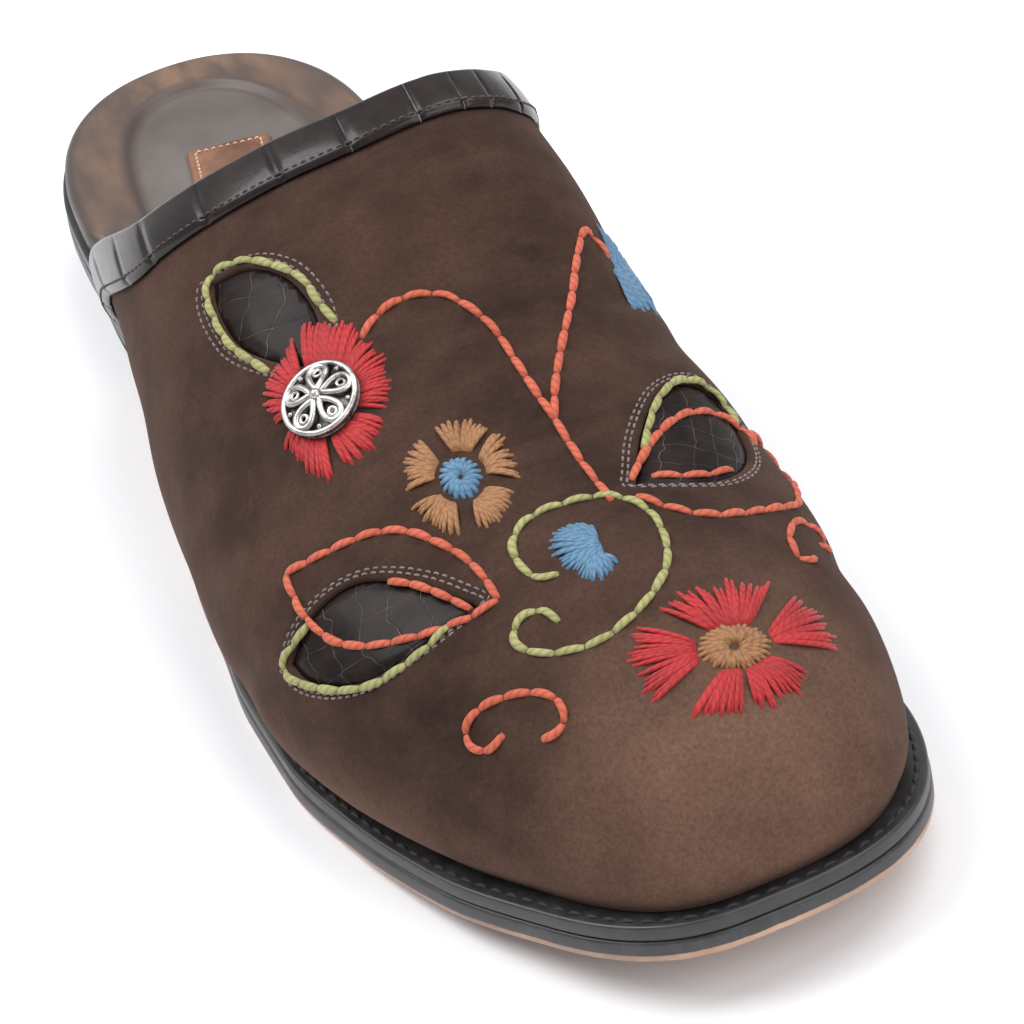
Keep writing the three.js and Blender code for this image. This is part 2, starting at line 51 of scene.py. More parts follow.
# Driving sizes of the model, in millimetres, as its source gives them
LENGTH = 260
BALL_WIDTH = 83
HEEL_WIDTH = 57
INSTEP_HEIGHT = 63
HEEL_HEIGHT = 12
TOE_SPRING = 9.5
OUTSOLE_THICKNESS = 3.6
MIDSOLE_THICKNESS = 2.6
MIDSOLE_INSET = 0.5
HEEL_LENGTH = 62
HEEL_INSET = 0.6
HEEL_TAPER = 1.6
TOP_PIECE_THICKNESS = 3
FEATHER_INSET = 1.9
UPPER_WALL = 2
BULGE_MEDIAL = 5.8
BULGE_LATERAL = 10.7
TOE_FAN = 51
TOE_SOFTNESS = 15
BINDING_WIDTH = 8.2
BINDING_INNER_WIDTH = 7.5
BINDING_LEATHER = 0.9
FOOTBED_THICKNESS = 4.4
FOOTBED_INSET = 1.1
FOOTBED_RIM = 9.5
FOOTBED_RECESS = 1.1
PATCH_SIZE = 14.7
PATCH_THICKNESS = 0.9
PATCH_CENTRE = 42
PATCH_TURN = -0.2
INLAY_DEPTH = 0.5
INLAY_THICKNESS = 1.1
BUTTON_DIAMETER = 13
GAP = 0.3
BED_HEIGHT = OUTSOLE_THICKNESS + MIDSOLE_THICKNESS + 2 * GAP


def named_rows(keys, *rows):
    """A table: one dictionary for each row, under the keys in their order."""
    return [dict(zip(keys.split(), row)) for row in rows]


# Outline of the outsole: half widths as shares of half the heel's width at the heel, and of half the
# ball's width from the end of BALL_BLEND on
OUTLINE = named_rows(
    "station medial lateral",
    (0.00, 0.99, 0.99),
    (0.08, 0.99, 1.00),
    (0.20, 1.00, 1.07),
    (0.38, 0.865, 0.975),
    (0.55, 0.82, 1.00),
    (0.63, 0.89, 1.045),
    (0.70, 0.945, 1.04),
    (0.78, 0.97, 0.95),
    (0.86, 0.96, 0.80),
    (0.93, 0.91, 0.66),
    (1.00, 0.85, 0.60),
)
BALL_BLEND = {"from": 0.20, "to": 0.55}
HEEL_CAP = {"until": 0.14, "power": 2.2}
TOE_CAP = {"from": 0.84, "medial": 3.1, "lateral": 2.3}
ARCH = {"from": 0.22, "to": 0.62}
SPRING_FROM = 0.70

# Ridge of the upper: height as a share of the instep's, shift to the medial side of the ball's width
RIDGE = named_rows(
    "station height shift",
    (0.20, 1.000, 0.180),
    (0.40, 1.000, 0.180),
    (0.51, 0.995, 0.165),
    (0.64, 0.805, 0.085),
    (0.76, 0.655, 0.055),
    (0.88, 0.575, 0.035),
    (1.00, 0.500, 0.020),
)

# Collar: where it crosses each rise from foot (0) to ridge (1), as a share of the length
COLLAR = named_rows(
    "station medial lateral",
    (0.00, 0.279, 0.239),
    (0.25, 0.337, 0.308),
    (0.50, 0.424, 0.404),
    (0.75, 0.467, 0.457),
    (0.90, 0.475, 0.474),
    (1.00, 0.476, 0.476),
)
SECTION = {
    "medial": {"inward": 0.99, "upward": 0.85},
    "lateral": {"inward": 1.16, "upward": 1.2},
    "toe": {"inward": 1.0, "upward": 1.0},
    "toe_from": 0.60,
    "toe_to": 0.98,
}
BULGE = {"grow_from": 0.05, "grow_to": 0.30, "fade_from": 0.75, "fade_to": 1.0}

# Leaf windows: each edge runs from the leaf's tail to its tip, a station along the foot and a rise
LEAVES = named_rows(
    "name side edges",
    ("leaf_inlay_lateral_rear", -1, [
        [(0.501, 0.583), (0.517, 0.643), (0.540, 0.690), (0.562, 0.716), (0.586, 0.730), (0.612, 0.714)],
        [(0.501, 0.583), (0.512, 0.573), (0.532, 0.573), (0.557, 0.590), (0.584, 0.640), (0.612, 0.714)],
    ]),
    ("leaf_inlay_lateral_front", -1, [
        [(0.745, 0.398), (0.743, 0.490), (0.750, 0.582), (0.768, 0.645), (0.806, 0.695), (0.856, 0.712)],
        [(0.745, 0.398), (0.764, 0.396), (0.793, 0.436), (0.817, 0.500), (0.838, 0.605), (0.856, 0.712)],
    ]),
    ("leaf_inlay_medial_front", 1, [
        [(0.706, 0.505), (0.701, 0.564), (0.713, 0.675), (0.735, 0.759), (0.773, 0.833), (0.826, 0.880)],
        [(0.706, 0.505), (0.732, 0.502), (0.762, 0.538), (0.792, 0.612), (0.816, 0.720), (0.826, 0.880)],
    ]),
)
LEAF_SPAN = (LENGTH, INSTEP_HEIGHT * 1.2)    # millimetres for a whole station and a whole rise
BUTTON = {"side": -1, "station": 0.635, "rise": 0.705}

# The photograph's camera, in the shoe's own millimetres: heel back at x 0, floor at z 0
PHOTO = {
    "azimuth": 71.54,
    "elevation": 35.4,
    "roll": -9.79,
    "distance": 695.13,
    "focal_px": 3130.34,
    "target": (147.71, 46.15, 4.09),
    "centre_px": 512,
    "width_px": 1024,
}
# The pair's other shoe in the photograph, the mirror image of this one: where it stands and its turn
TWIN = {"shift": (-2.35, 29.8), "turn": 14.7}
SHOE_CENTRE_PX = (352, 553)
FRAME_ZOOM = 1.39


def smooth(value):
    u = np.clip(value, 0, 1)
    return u * u * (3 - 2 * u)


def mix(a, b, share):
    return a + (b - a) * share


def unit(rows):
    """A vector, or each of some rows of them, made one long."""
    return rows / np.maximum(np.linalg.norm(rows, axis=-1, keepdims=True), 1e-9)


def run_lengths(points):
    """The length along a run of points, up to each of them."""
    return np.concatenate([[0], np.cumsum(np.linalg.norm(np.diff(points, axis=0), axis=1))])


def table_curve(rows, column):
    """Shape-preserving cubic through a column of a table."""
    xs = np.array([row["station"] for row in rows])
    ys = np.array([row[column] for row in rows])
    slopes = np.diff(ys) / np.diff(xs)
    tangents = np.concatenate([[slopes[0]], np.zeros(len(xs) - 2), [slopes[-1]]])
    for i in range(1, len(xs) - 1):
        product = slopes[i - 1] * slopes[i]
        if product > 0:
            tangents[i] = 2 * product / (slopes[i - 1] + slopes[i])

    def curve(x):
        i = np.clip(np.searchsorted(xs, x) - 1, 0, len(xs) - 2)
        h = xs[i + 1] - xs[i]
        u = np.clip((x - xs[i]) / h, 0, 1)
        start = ys[i] * (1 + 2 * u) + tangents[i] * h * u
        end = ys[i + 1] * (3 - 2 * u) + tangents[i + 1] * h * (u - 1)
        return start * (1 - u) ** 2 + end * u * u

    return curve


def side_name(side):
    return "medial" if side > 0 else "lateral"


HALF_SHARE = {name: table_curve(OUTLINE, name) for name in ("medial", "lateral")}
COLLAR_SHARE = {name: table_curve(COLLAR, name) for name in ("medial", "lateral")}
RIDGE_SHARE = table_curve(RIDGE, "height")
RIDGE_SHIFT = table_curve(RIDGE, "shift")


def cap_factor(station, side):
    """How full the outline is: 0 at the heel's back and the toe's tip, 1 between the caps."""
    heel = np.clip(1 - np.maximum(station, 0) / HEEL_CAP["until"], 0, 1)
    toe = np.clip((station - TOE_CAP["from"]) / (1 - TOE_CAP["from"]), 0, 1)
    power = TOE_CAP[side_name(side)]
    return (1 - heel ** HEEL_CAP["power"]) ** (1 / HEEL_CAP["power"]) * (1 - toe ** power) ** (1 / power)


def outline_point(station, side, inset):
    blend = smooth((station - BALL_BLEND["from"]) / (BALL_BLEND["to"] - BALL_BLEND["from"]))
    half = HALF_SHARE[side_name(side)](station) * mix(HEEL_WIDTH, BALL_WIDTH, blend) / 2
    return inset + station * (LENGTH - 2 * inset), side * (half - inset) * cap_factor(station, side)


def underside(x):
    station = x / LENGTH
    rise = np.clip((station - SPRING_FROM) / (1 - SPRING_FROM), 0, 1)
    arch = smooth((ARCH["to"] - station) / (ARCH["to"] - ARCH["from"]))
    return TOE_SPRING * rise * rise + HEEL_HEIGHT * arch


def bed_z(x):
    return underside(x) + BED_HEIGHT


def upper_point(station, side, rise, offset):
    """The upper's face: station along its foot, rise from foot (0) to ridge (1), offset outwards."""
    foot_x, foot_y = outline_point(station, side, FEATHER_INSET - offset)
    fan = (foot_x - (LENGTH - TOE_FAN)) / TOE_SOFTNESS
    ridge_x = foot_x - TOE_SOFTNESS * np.log1p(np.exp(fan))
    ridge_y = RIDGE_SHIFT(ridge_x / LENGTH) * BALL_WIDTH
    angle = np.clip(rise, 0, 1) * math.pi / 2
    toe = smooth((station - SECTION["toe_from"]) / (SECTION["toe_to"] - SECTION["toe_from"]))
    section = SECTION[side_name(side)]
    inward = mix(section["inward"], SECTION["toe"]["inward"], toe)
    upward = mix(section["upward"], SECTION["toe"]["upward"], toe)
    across = 1 - np.maximum(0, np.cos(angle)) ** inward
    up = np.sin(angle) ** upward
    grow = smooth((station - BULGE["grow_from"]) / (BULGE["grow_to"] - BULGE["grow_from"]))
    fade = smooth((BULGE["fade_to"] - station) / (BULGE["fade_to"] - BULGE["fade_from"]))
    swell = BULGE_MEDIAL if side > 0 else BULGE_LATERAL
    bulge = swell * np.sin(2 * angle) * grow * fade
    x = mix(foot_x, ridge_x, across)
    y = mix(foot_y, ridge_y, across) + side * bulge
    height = RIDGE_SHARE(x / LENGTH) * INSTEP_HEIGHT + offset
    return np.stack([x, y, bed_z(x) + height * up], axis=-1)


def collar_station(side, rise):
    x = COLLAR_SHARE[side_name(side)](rise) * LENGTH
    return (x - FEATHER_INSET) / (LENGTH - 2 * FEATHER_INSET)


# The upper laid flat: a runs along the foot from the lateral collar round the toe to the medial one,
# r up from the foot, both in about millimetres
FLAT_HEIGHT = 76
FINE = 600


def foot_lengths():
    """Share of the way from collar to toe tip against length along the foot, mean of both sides."""
    shares = np.sin(np.linspace(0, math.pi / 2, FINE))
    lengths = np.zeros(FINE)
    for side in (-1, 1):
        foot = outline_point(mix(collar_station(side, 0.0), 1, shares), side, FEATHER_INSET)
        lengths += run_lengths(np.stack(foot, axis=1)) / 2
    return shares, lengths


FOOT_SHARES, FOOT_LENGTHS = foot_lengths()
FLAT_MIDDLE = FOOT_LENGTHS[-1]


def flat_to_face(a, r):
    """Side, station and rise of flat points."""
    side = np.where(a <= FLAT_MIDDLE, -1, 1)
    share = np.interp(np.where(side < 0, a, 2 * FLAT_MIDDLE - a), FOOT_LENGTHS, FOOT_SHARES)
    rise = np.clip(r / FLAT_HEIGHT, 0, 1)
    start = np.where(side < 0, collar_station(-1, rise), collar_station(1, rise))
    return side, mix(start, 1, share), rise


def face_to_flat(side, station, rise):
    start = collar_station(side, rise)
    a = np.interp((station - start) / (1 - start), FOOT_SHARES, FOOT_LENGTHS)
    return (a if side < 0 else 2 * FLAT_MIDDLE - a), rise * FLAT_HEIGHT


# Soft troughs (depth above 0) and ridges of the worn upper: from and to are a station and a rise, and a
# rise above 1 goes on over the ridge, down the other side
CREASES = named_rows(
    "side from to depth width",
    (-1, (0.585, 0.16), (0.665, 0.50), 1.25, 5.0),
    (-1, (0.655, 0.10), (0.715, 0.38), 1.10, 4.2),
    (-1, (0.690, 0.78), (0.655, 1.10), 0.80, 4.0),
    (-1, (0.520, 0.86), (0.610, 0.98), 0.75, 4.0),
    (-1, (0.800, 0.20), (0.880, 0.42), 0.70, 6.0),
    (-1, (0.560, 0.08), (0.620, 0.34), -0.55, 5.0),
    (-1, (0.640, 0.30), (0.690, 0.46), -0.45, 3.6),
    (-1, (0.730, 0.86), (0.760, 1.12), 0.55, 3.6),
    (-1, (0.400, 0.14), (0.480, 0.30), 0.55, 6.5),
    (1, (0.640, 0.46), (0.690, 0.74), 0.95, 3.4),
    (1, (0.615, 0.50), (0.655, 0.80), 0.85, 3.0),
    (1, (0.600, 0.16), (0.655, 0.44), 1.20, 4.6),
    (1, (0.670, 0.12), (0.720, 0.36), 0.90, 4.0),
    (1, (0.800, 0.16), (0.850, 0.40), 0.75, 5.0),
    (1, (0.625, 0.66), (0.672, 0.90), -0.50, 3.4),
    (1, (0.430, 0.14), (0.500, 0.34), 0.60, 6.0),
)
FOOT_TUCK = {"depth": 1.5, "height": 3.0}    # the wall draws in where it is lasted under


def segment_distance(points, start, end):
    """Distance to a segment, and the share of the way along it."""
    along = np.asarray(end) - np.asarray(start)
    share = np.clip(((points - start) @ along) / (along @ along), 0, 1)
    return np.linalg.norm(points - (start + share[:, None] * along), axis=1), share


def worn_offset(a, r):
    """How far the worn face stands out of the last's face."""
    side, station, rise = flat_to_face(a, r)
    offset = np.zeros(len(a))
    for crease in CREASES:
        climbed = np.where(side == crease["side"], rise, 2 - rise)
        flat = np.stack([station * LEAF_SPAN[0], climbed * LEAF_SPAN[1]], axis=1)
        start, end = (np.array(crease[key]) * LEAF_SPAN for key in ("from", "to"))
        distance, share = segment_distance(flat, start, end)
        fade = np.sin(math.pi * np.clip(share, 0.08, 0.92)) ** 0.7
        offset -= crease["depth"] * np.exp(-(distance / crease["width"]) ** 2) * fade
    height = r / FLAT_HEIGHT * INSTEP_HEIGHT
    offset -= FOOT_TUCK["depth"] * np.exp(-(height / FOOT_TUCK["height"]) ** 2)
    return offset


def upper_flat_points(a, r, offset):
    side, station, rise = flat_to_face(a, r)
    points = np.empty((len(a), 3))
    offset = offset + worn_offset(a, r)
    for which in (-1, 1):
        on = side == which
        points[on] = upper_point(station[on], which, rise[on], offset[on])
    return points


def spline(knots, steps):
    """Catmull-Rom through the knots, ends included."""
    knots = np.asarray(knots, float)
    padded = np.vstack([2 * knots[0] - knots[1], knots, 2 * knots[-1] - knots[-2]])
    rows = []
    for i in range(len(knots) - 1):
        p0, p1, p2, p3 = padded[i:i + 4]
        for t in np.arange(steps) / steps:
            rows.append(0.5 * (2 * p1 + (p2 - p0) * t + (2 * p0 - 5 * p1 + 4 * p2 - p3) * t * t
                               + (3 * p1 - p0 - 3 * p2 + p3) * t ** 3))
    return np.array(rows + [knots[-1]])


def sampled(goals, lengths, rows):
    """Rows given at some lengths, read off at others."""
    return np.stack([np.interp(goals, lengths, column) for column in rows.T], axis=1)


def resample(points, count):
    lengths = run_lengths(points)
    return sampled(np.linspace(0, lengths[-1], count), lengths, points)


def leaf_flat_outline(leaf):
    """The leaf's window as a closed loop of flat points, about 1 mm apart."""
    loop = []
    for edge, turned in zip(leaf["edges"], (False, True)):
        curve = resample(spline(np.array(edge) * LEAF_SPAN, 8), 34) / LEAF_SPAN
        loop.append(curve[::-1][1:-1] if turned else curve)
    station, rise = np.vstack(loop).T
    a, r = face_to_flat(leaf["side"], station, rise)
    return np.stack([a, r], axis=1)


def grown(loop, distance):
    """The closed loop moved outwards."""
    tangent = np.roll(loop, -1, axis=0) - np.roll(loop, 1, axis=0)
    normal = unit(np.stack([tangent[:, 1], -tangent[:, 0]], axis=1))
    x, y = loop.T
    area = np.sum(x * np.roll(y, -1) - np.roll(x, -1) * y)
    return loop + normal * distance * (1 if area > 0 else -1)


def inside(points, loop):
    """Which points lie inside the closed loop."""
    x, y = points[:, 0][:, None], points[:, 1][:, None]
    x0, y0 = loop.T
    x1, y1 = np.roll(loop, -1, axis=0).T
    crosses = (y0 > y) != (y1 > y)
    with np.errstate(divide="ignore", invalid="ignore"):
        meets = x < (x1 - x0) * (y - y0) / (y1 - y0) + x0
    return (np.sum(crosses & meets, axis=1) % 2) == 1


def loop_distance(points, loop):
    best = np.full(len(points), 1e9)
    for start, end in zip(loop, np.roll(loop, -1, axis=0)):
        best = np.minimum(best, segment_distance(points, start, end)[0])
    return best


# The model's own place in the row: the patch's middle is at PATCH_CENTRE on the shoe's axis
PATCH_LOW, PATCH_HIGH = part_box("insole_patch")
SHIFT = np.array([
    (PATCH_LOW[0] + PATCH_HIGH[0]) / 2 / MM - PATCH_CENTRE,
    (PATCH_LOW[1] + PATCH_HIGH[1]) / 2 / MM,
    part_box("heel_top_piece")[0][2] / MM,
])


def to_row(points):
    return (np.asarray(points) + SHIFT) * MM


# Meshes
def make_piece(name, points, faces, material, replaces=(), attributes=None, uvs=None, merge=0.0):
    """A piece of the object from points in shoe millimetres; uvs is one pair for each face corner."""
    mesh = bpy.data.meshes.new(name)
    mesh.from_pydata(to_row(points).tolist(), [], [list(map(int, face)) for face in faces])
    for key, values in (attributes or {}).items():
        layer = mesh.attributes.new(key, "FLOAT", "POINT")
        layer.data.foreach_set("value", np.asarray(values, np.float32))
    if uvs is not None:
        layer = mesh.uv_layers.new(name="thread")
        layer.data.foreach_set("uv", np.asarray(uvs, np.float32).ravel())
    shape = bmesh.new()
    shape.from_mesh(mesh)
    if merge:
        bmesh.ops.remove_doubles(shape, verts=shape.verts, dist=merge * MM)
    bmesh.ops.recalc_face_normals(shape, faces=shape.faces)
    shape.to_mesh(mesh)
    shape.free()
    mesh.polygons.foreach_set("use_smooth", np.ones(len(mesh.polygons), bool))
    mesh.materials.append(material)
    mesh.update()
    piece = bpy.data.objects.new(name, mesh)
    bpy.context.scene.collection.objects.link(piece)
    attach(piece, "root")
    if replaces:
        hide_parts(*replaces)


def grid_faces(rows, columns, closed_columns=False):
    """Quads of a grid of points, row after row."""
    faces = []
    for i in range(rows - 1):
        for j in range(columns if closed_columns else columns - 1):
            k = (j + 1) % columns
            faces.append((i * columns + j, (i + 1) * columns + j, (i + 1) * columns + k, i * columns + k))
    return faces


def end_caps(rows, columns):
    """A grid's first row as a face, and its last row turned."""
    return [tuple(range(columns)), tuple(range(rows * columns - 1, (rows - 1) * columns - 1, -1))]


def tube(middle, sideways, raised, wide, high, sides):
    """Rings of points round a run, row after row; wide and high are half sizes."""
    angles = np.linspace(0, 2 * math.pi, sides, endpoint=False)
    across = sideways[:, None] * np.cos(angles)[:, None] * np.reshape(wide, (-1, 1, 1))
    up = raised[:, None] * np.sin(angles)[:, None] * np.reshape(high, (-1, 1, 1))
    return (middle[:, None] + across + up).reshape(-1, 3)


def triangulate(points, loops):
    """Delaunay triangles through flat points and closed loops. Returns points and triangles."""
    coords = [Vector(point) for point in points]
    edges = []
    for loop in loops:
        first = len(coords)
        coords.extend(Vector(point) for point in loop)
        edges.extend((first + i, first + (i + 1) % len(loop)) for i in range(len(loop)))
    made = delaunay_2d_cdt(coords, edges, [], 0, 1e-5)
    return np.array([tuple(v) for v in made[0]]), np.array([tuple(face) for face in made[2]])


def border_edges(faces):
    """Edges that only one face has, each in that face's direction."""
    directed = {}
    for face in faces:
        for i, start in enumerate(face):
            directed[(int(start), int(face[(i + 1) % len(face)]))] = True
    return [edge for edge in directed if (edge[1], edge[0]) not in directed]


def walled(faces, count, is_open=lambda start, end: False):
    """A sheet's faces, the same ones turned and count points on, and the walls between their borders."""
    solid = [tuple(face) for face in faces]
    solid += [tuple(corner + count for corner in face[::-1]) for face in faces]
    for start, end in border_edges(faces):
        if not is_open(start, end):
            solid.append((end, start, start + count, end + count))
    return solid


def two_sided(flat, faces, outer, inner):
    """A sheet of the upper between two offsets, without a wall along the ridge, where both sides meet."""
    def on_ridge(start, end):
        return min(flat[start][1], flat[end][1]) > FLAT_HEIGHT - 1e-4

    a, r = flat.T
    points = np.vstack([upper_flat_points(a, r, outer), upper_flat_points(a, r, inner)])
    return points, walled(faces, len(flat), on_ridge)


SHEET_STEP = 1.35
LINING_STEP = 2.6
GROUND_STEP = 1.2
INLAY_STEP = 0.8
LEAF_REACH = 40           # no leaf reaches this far along the foot from its middle
LEAF_CLEARANCE = {"suede": 1.7, "inlay": 0.5}    # the sheet's own points keep this far from a leaf's edge
LINING = {"face": 0.04, "back": 0.34}            # how far inside the wall its two faces lie
TOE_WEAR = {"from": 0.87, "over": 0.13, "below": 0.90, "fade": 0.5}
FOOT_WEAR = {"below": 0.26, "share": 0.8}
INLAY_EDGE = {"inset": 0.06, "drop": 0.35, "width": 2.2}
ROLL = [(0.0, 0.45), (0.4, 0.12), (1.0, 0.0)]    # distance from a window's edge, drop of the face
LEAF_LOOPS = [leaf_flat_outline(leaf) for leaf in LEAVES]


def sheet_grid(step):
    columns = int(round(2 * FLAT_MIDDLE / step / 2)) * 2 + 1
    rows = int(round(FLAT_HEIGHT / step)) + 1
    a, r = np.meshgrid(np.linspace(0, 2 * FLAT_MIDDLE, columns), np.linspace(0, FLAT_HEIGHT, rows))
    return np.stack([a.ravel(), r.ravel()], axis=1)


STITCH_GROOVE = {"from_edge": 1.5, "depth": 0.2, "width": 0.5}
STITCH_ROW_GAP = 0.9


def near_leaf(points, loop):
    return np.abs(points[:, 0] - loop[:, 0].mean()) < LEAF_REACH


def upper_suede(material):
    points = sheet_grid(SHEET_STEP)
    loops = [grown(loop, distance) for loop in LEAF_LOOPS for distance, _ in ROLL]
    for loop in LEAF_LOOPS:
        close = near_leaf(points, loop)
        far = np.ones(len(points), bool)
        far[close] = loop_distance(points[close], loop) > LEAF_CLEARANCE["suede"]
        inner = np.zeros(len(points), bool)
        inner[close] = inside(points[close], loop)
        points = points[far & ~inner]
    flat, faces = triangulate(points, loops)
    middles = flat[faces].mean(axis=1)
    for loop in LEAF_LOOPS:
        faces = faces[~inside(middles, loop)]
        middles = flat[faces].mean(axis=1)
    outer = np.zeros(len(flat))
    for loop in LEAF_LOOPS:
        distance = loop_distance(flat, loop)
        steps, drops = np.array(ROLL).T
        outer -= np.interp(distance, steps, drops)
        groove = (distance - STITCH_GROOVE["from_edge"]) / STITCH_GROOVE["width"]
        outer -= STITCH_GROOVE["depth"] * np.exp(-groove ** 2)
    inner = np.full(len(flat), -float(UPPER_WALL))
    solid, all_faces = two_sided(flat, faces, outer, inner)
    _, station, rise = flat_to_face(*flat.T)
    toe = smooth((station - TOE_WEAR["from"]) / TOE_WEAR["over"])
    toe *= smooth((TOE_WEAR["below"] - rise) / TOE_WEAR["fade"])
    foot = smooth((FOOT_WEAR["below"] - rise) / FOOT_WEAR["below"]) * FOOT_WEAR["share"]
    wear = np.tile(np.clip(np.maximum(toe, foot), 0, 1), 2)
    make_piece("upper_suede", solid, all_faces, material, ["upper"],
               {"wear": wear}, merge=0.02)


def upper_lining(material):
    flat, faces = triangulate(sheet_grid(LINING_STEP), [])
    outer = np.full(len(flat), -UPPER_WALL - LINING["face"])
    inner = np.full(len(flat), -UPPER_WALL - LINING["back"])
    solid, all_faces = two_sided(flat, faces, outer, inner)
    make_piece("upper_lining", solid, all_faces, material, merge=0.02)


def ground_drop(flat):
    """How far the embroidery's ground lies under the worn face, which is more than 0 in a window."""
    drop = np.zeros(len(flat))
    for loop in LEAF_LOOPS:
        distance = loop_distance(flat, loop)
        drop += np.where(inside(flat, loop), INLAY_DEPTH * smooth(distance / 1.2), 0)
    return drop


def embroidery_ground():
    """Ray tree of the outer face, windows filled."""
    flat, faces = triangulate(sheet_grid(GROUND_STEP), [])
    a, r = flat.T
    points = upper_flat_points(a, r, -ground_drop(flat))
    return BVHTree.FromPolygons(points.tolist(), faces.tolist())


GROUND = embroidery_ground()


def leaf_inlays(material):
    for leaf, loop in zip(LEAVES, LEAF_LOOPS):
        grid = sheet_grid(INLAY_STEP)
        grid = grid[near_leaf(grid, loop)]
        grid = grid[inside(grid, loop)]
        grid = grid[loop_distance(grid, loop) > LEAF_CLEARANCE["inlay"]]
        edge = grown(loop, -INLAY_EDGE["inset"])
        flat, faces = triangulate(grid, [edge])
        faces = faces[inside(flat[faces].mean(axis=1), edge)]
        distance = loop_distance(flat, edge)
        outer = -INLAY_DEPTH - INLAY_EDGE["drop"] * (1 - smooth(distance / INLAY_EDGE["width"]))
        inner = np.full(len(flat), -INLAY_DEPTH - INLAY_THICKNESS)
        points, all_faces = two_sided(flat, faces, outer, inner)
        uvs = np.array([flat[corner % len(flat)] for face in all_faces for corner in face])
        make_piece(leaf["name"] + "_leather", points, all_faces, material, [leaf["name"]],
                   uvs=uvs)


# Collar binding
BINDING_STITCH_INSET = 1.1
BINDING_STITCH_RISE = 0.56
BINDING_LOFT = 0.45       # the band stands off the upper by this on both sides
BINDING_CROWN = 0.3
BINDING_FACE_GAP = 0.2    # between the band's underside and the upper
BINDING_FOLD = 1.5        # how far the fold reaches over the collar's edge
BINDING_EDGE = {"drop": 0.55, "share": 0.09}
BINDING_CREASE = {"depth": 0.38, "width": 0.0026}    # the width is a share of the band's length
BINDING_CREASES = [0.035, 0.085, 0.14, 0.20, 0.245, 0.31, 0.375, 0.43, 0.485, 0.55, 0.60, 0.665, 0.73,
                   0.785, 0.845, 0.90, 0.955]


def binding_section(count=15):
    """Rows of distance from the collar's edge and offset: the outer leg, the fold and the inner leg."""
    gap = BINDING_FACE_GAP
    outer = BINDING_LEATHER + BINDING_LOFT
    inner = -UPPER_WALL - BINDING_LOFT - BINDING_LEATHER
    under = -UPPER_WALL - gap * 2
    rows = []
    for t in np.linspace(0, 1, count):
        crown = BINDING_CROWN * math.sin(math.pi * min(1, t * 1.05)) ** 0.8
        edge = BINDING_EDGE["drop"] * (1 - smooth(t / BINDING_EDGE["share"]))
        rows.append((BINDING_WIDTH * (1 - t), outer + crown - edge, 1 - t))
    for t in np.linspace(0.12, 0.88, 7):
        angle = math.pi / 2 + t * math.pi
        middle, half = (outer + inner) / 2, (outer - inner) / 2
        rows.append((BINDING_FOLD * math.cos(angle), middle + half * math.sin(angle), 0))
    return rows + [(0, inner, 0), (BINDING_INNER_WIDTH * 0.5, inner, 0), (BINDING_INNER_WIDTH, inner, 0),
                   (BINDING_INNER_WIDTH, under, 0), (gap, under, 0), (-gap, -UPPER_WALL / 2, 0),
                   (gap, gap, 0), (BINDING_WIDTH, gap, 0)]


def band_point(side, rise, distance, offset):
    """A point that far from the collar's edge, square to it, and that far out of the last's face."""
    step = 0.01
    rise = np.float64(rise)
    station = collar_station(side, rise)
    along = upper_point(station + step, side, rise, 0.0) - upper_point(station, side, rise, 0.0)
    high, low = min(1, rise + step), max(0, rise - step)
    collar = (upper_point(collar_station(side, high), side, high, 0.0)
              - upper_point(collar_station(side, low), side, low, 0.0))
    square = np.linalg.norm(np.cross(along, unit(collar)))
    return upper_point(station + step * distance / square, side, rise, offset)


def band_places(count):
    """Side and rise at even steps from the lateral foot over the ridge to the medial foot."""
    lateral = [(-1, k / count) for k in range(count + 1)]
    return lateral + [(1, k / count) for k in reversed(range(count))]


def collar_binding(material):
    section = binding_section()
    columns = len(section)
    places = band_places(170)
    rings = []
    pinches = []
    for k, (side, rise) in enumerate(places):
        share = k / (len(places) - 1)
        pinch = sum(math.exp(-((share - place) / BINDING_CREASE["width"]) ** 2)
                    for place in BINDING_CREASES)
        for distance, offset, outward in section:
            pinches.append(min(1, pinch))
            depth = BINDING_CREASE["depth"] * pinch * min(1, outward * 3)
            rings.append(band_point(side, rise, distance, offset - depth))
    points = np.array(rings)
    edges = np.array([band_point(side, rise, 0.0, 0.0) for side, rise in places])
    lengths = run_lengths(edges)
    faces = grid_faces(len(places), columns, True) + end_caps(len(places), columns)
    around = run_lengths(np.array(section)[:, :2])
    uvs = []
    for face in faces:
        wraps = len(face) == 4 and {corner % columns for corner in face} == {0, columns - 1}
        for corner in face:
            v = around[-1] + 1 if wraps and corner % columns == 0 else around[corner % columns]
            uvs.append((lengths[corner // columns], v))
    make_piece("collar_binding_leather", points, faces, material, ["collar_binding"],
               {"pinch": pinches, "banded": np.ones(len(points))}, np.array(uvs))


# Sole plates
def spread_stations(end, count):
    """Stations from the heel's back to end, evenly apart along the outline."""
    turn = (1 - np.cos(np.linspace(0, math.pi, 900))) / 2 * end
    lengths = run_lengths(np.stack(outline_point(turn, 1, 0.0), axis=1))
    return np.interp(np.linspace(0, lengths[-1], count), lengths, turn)


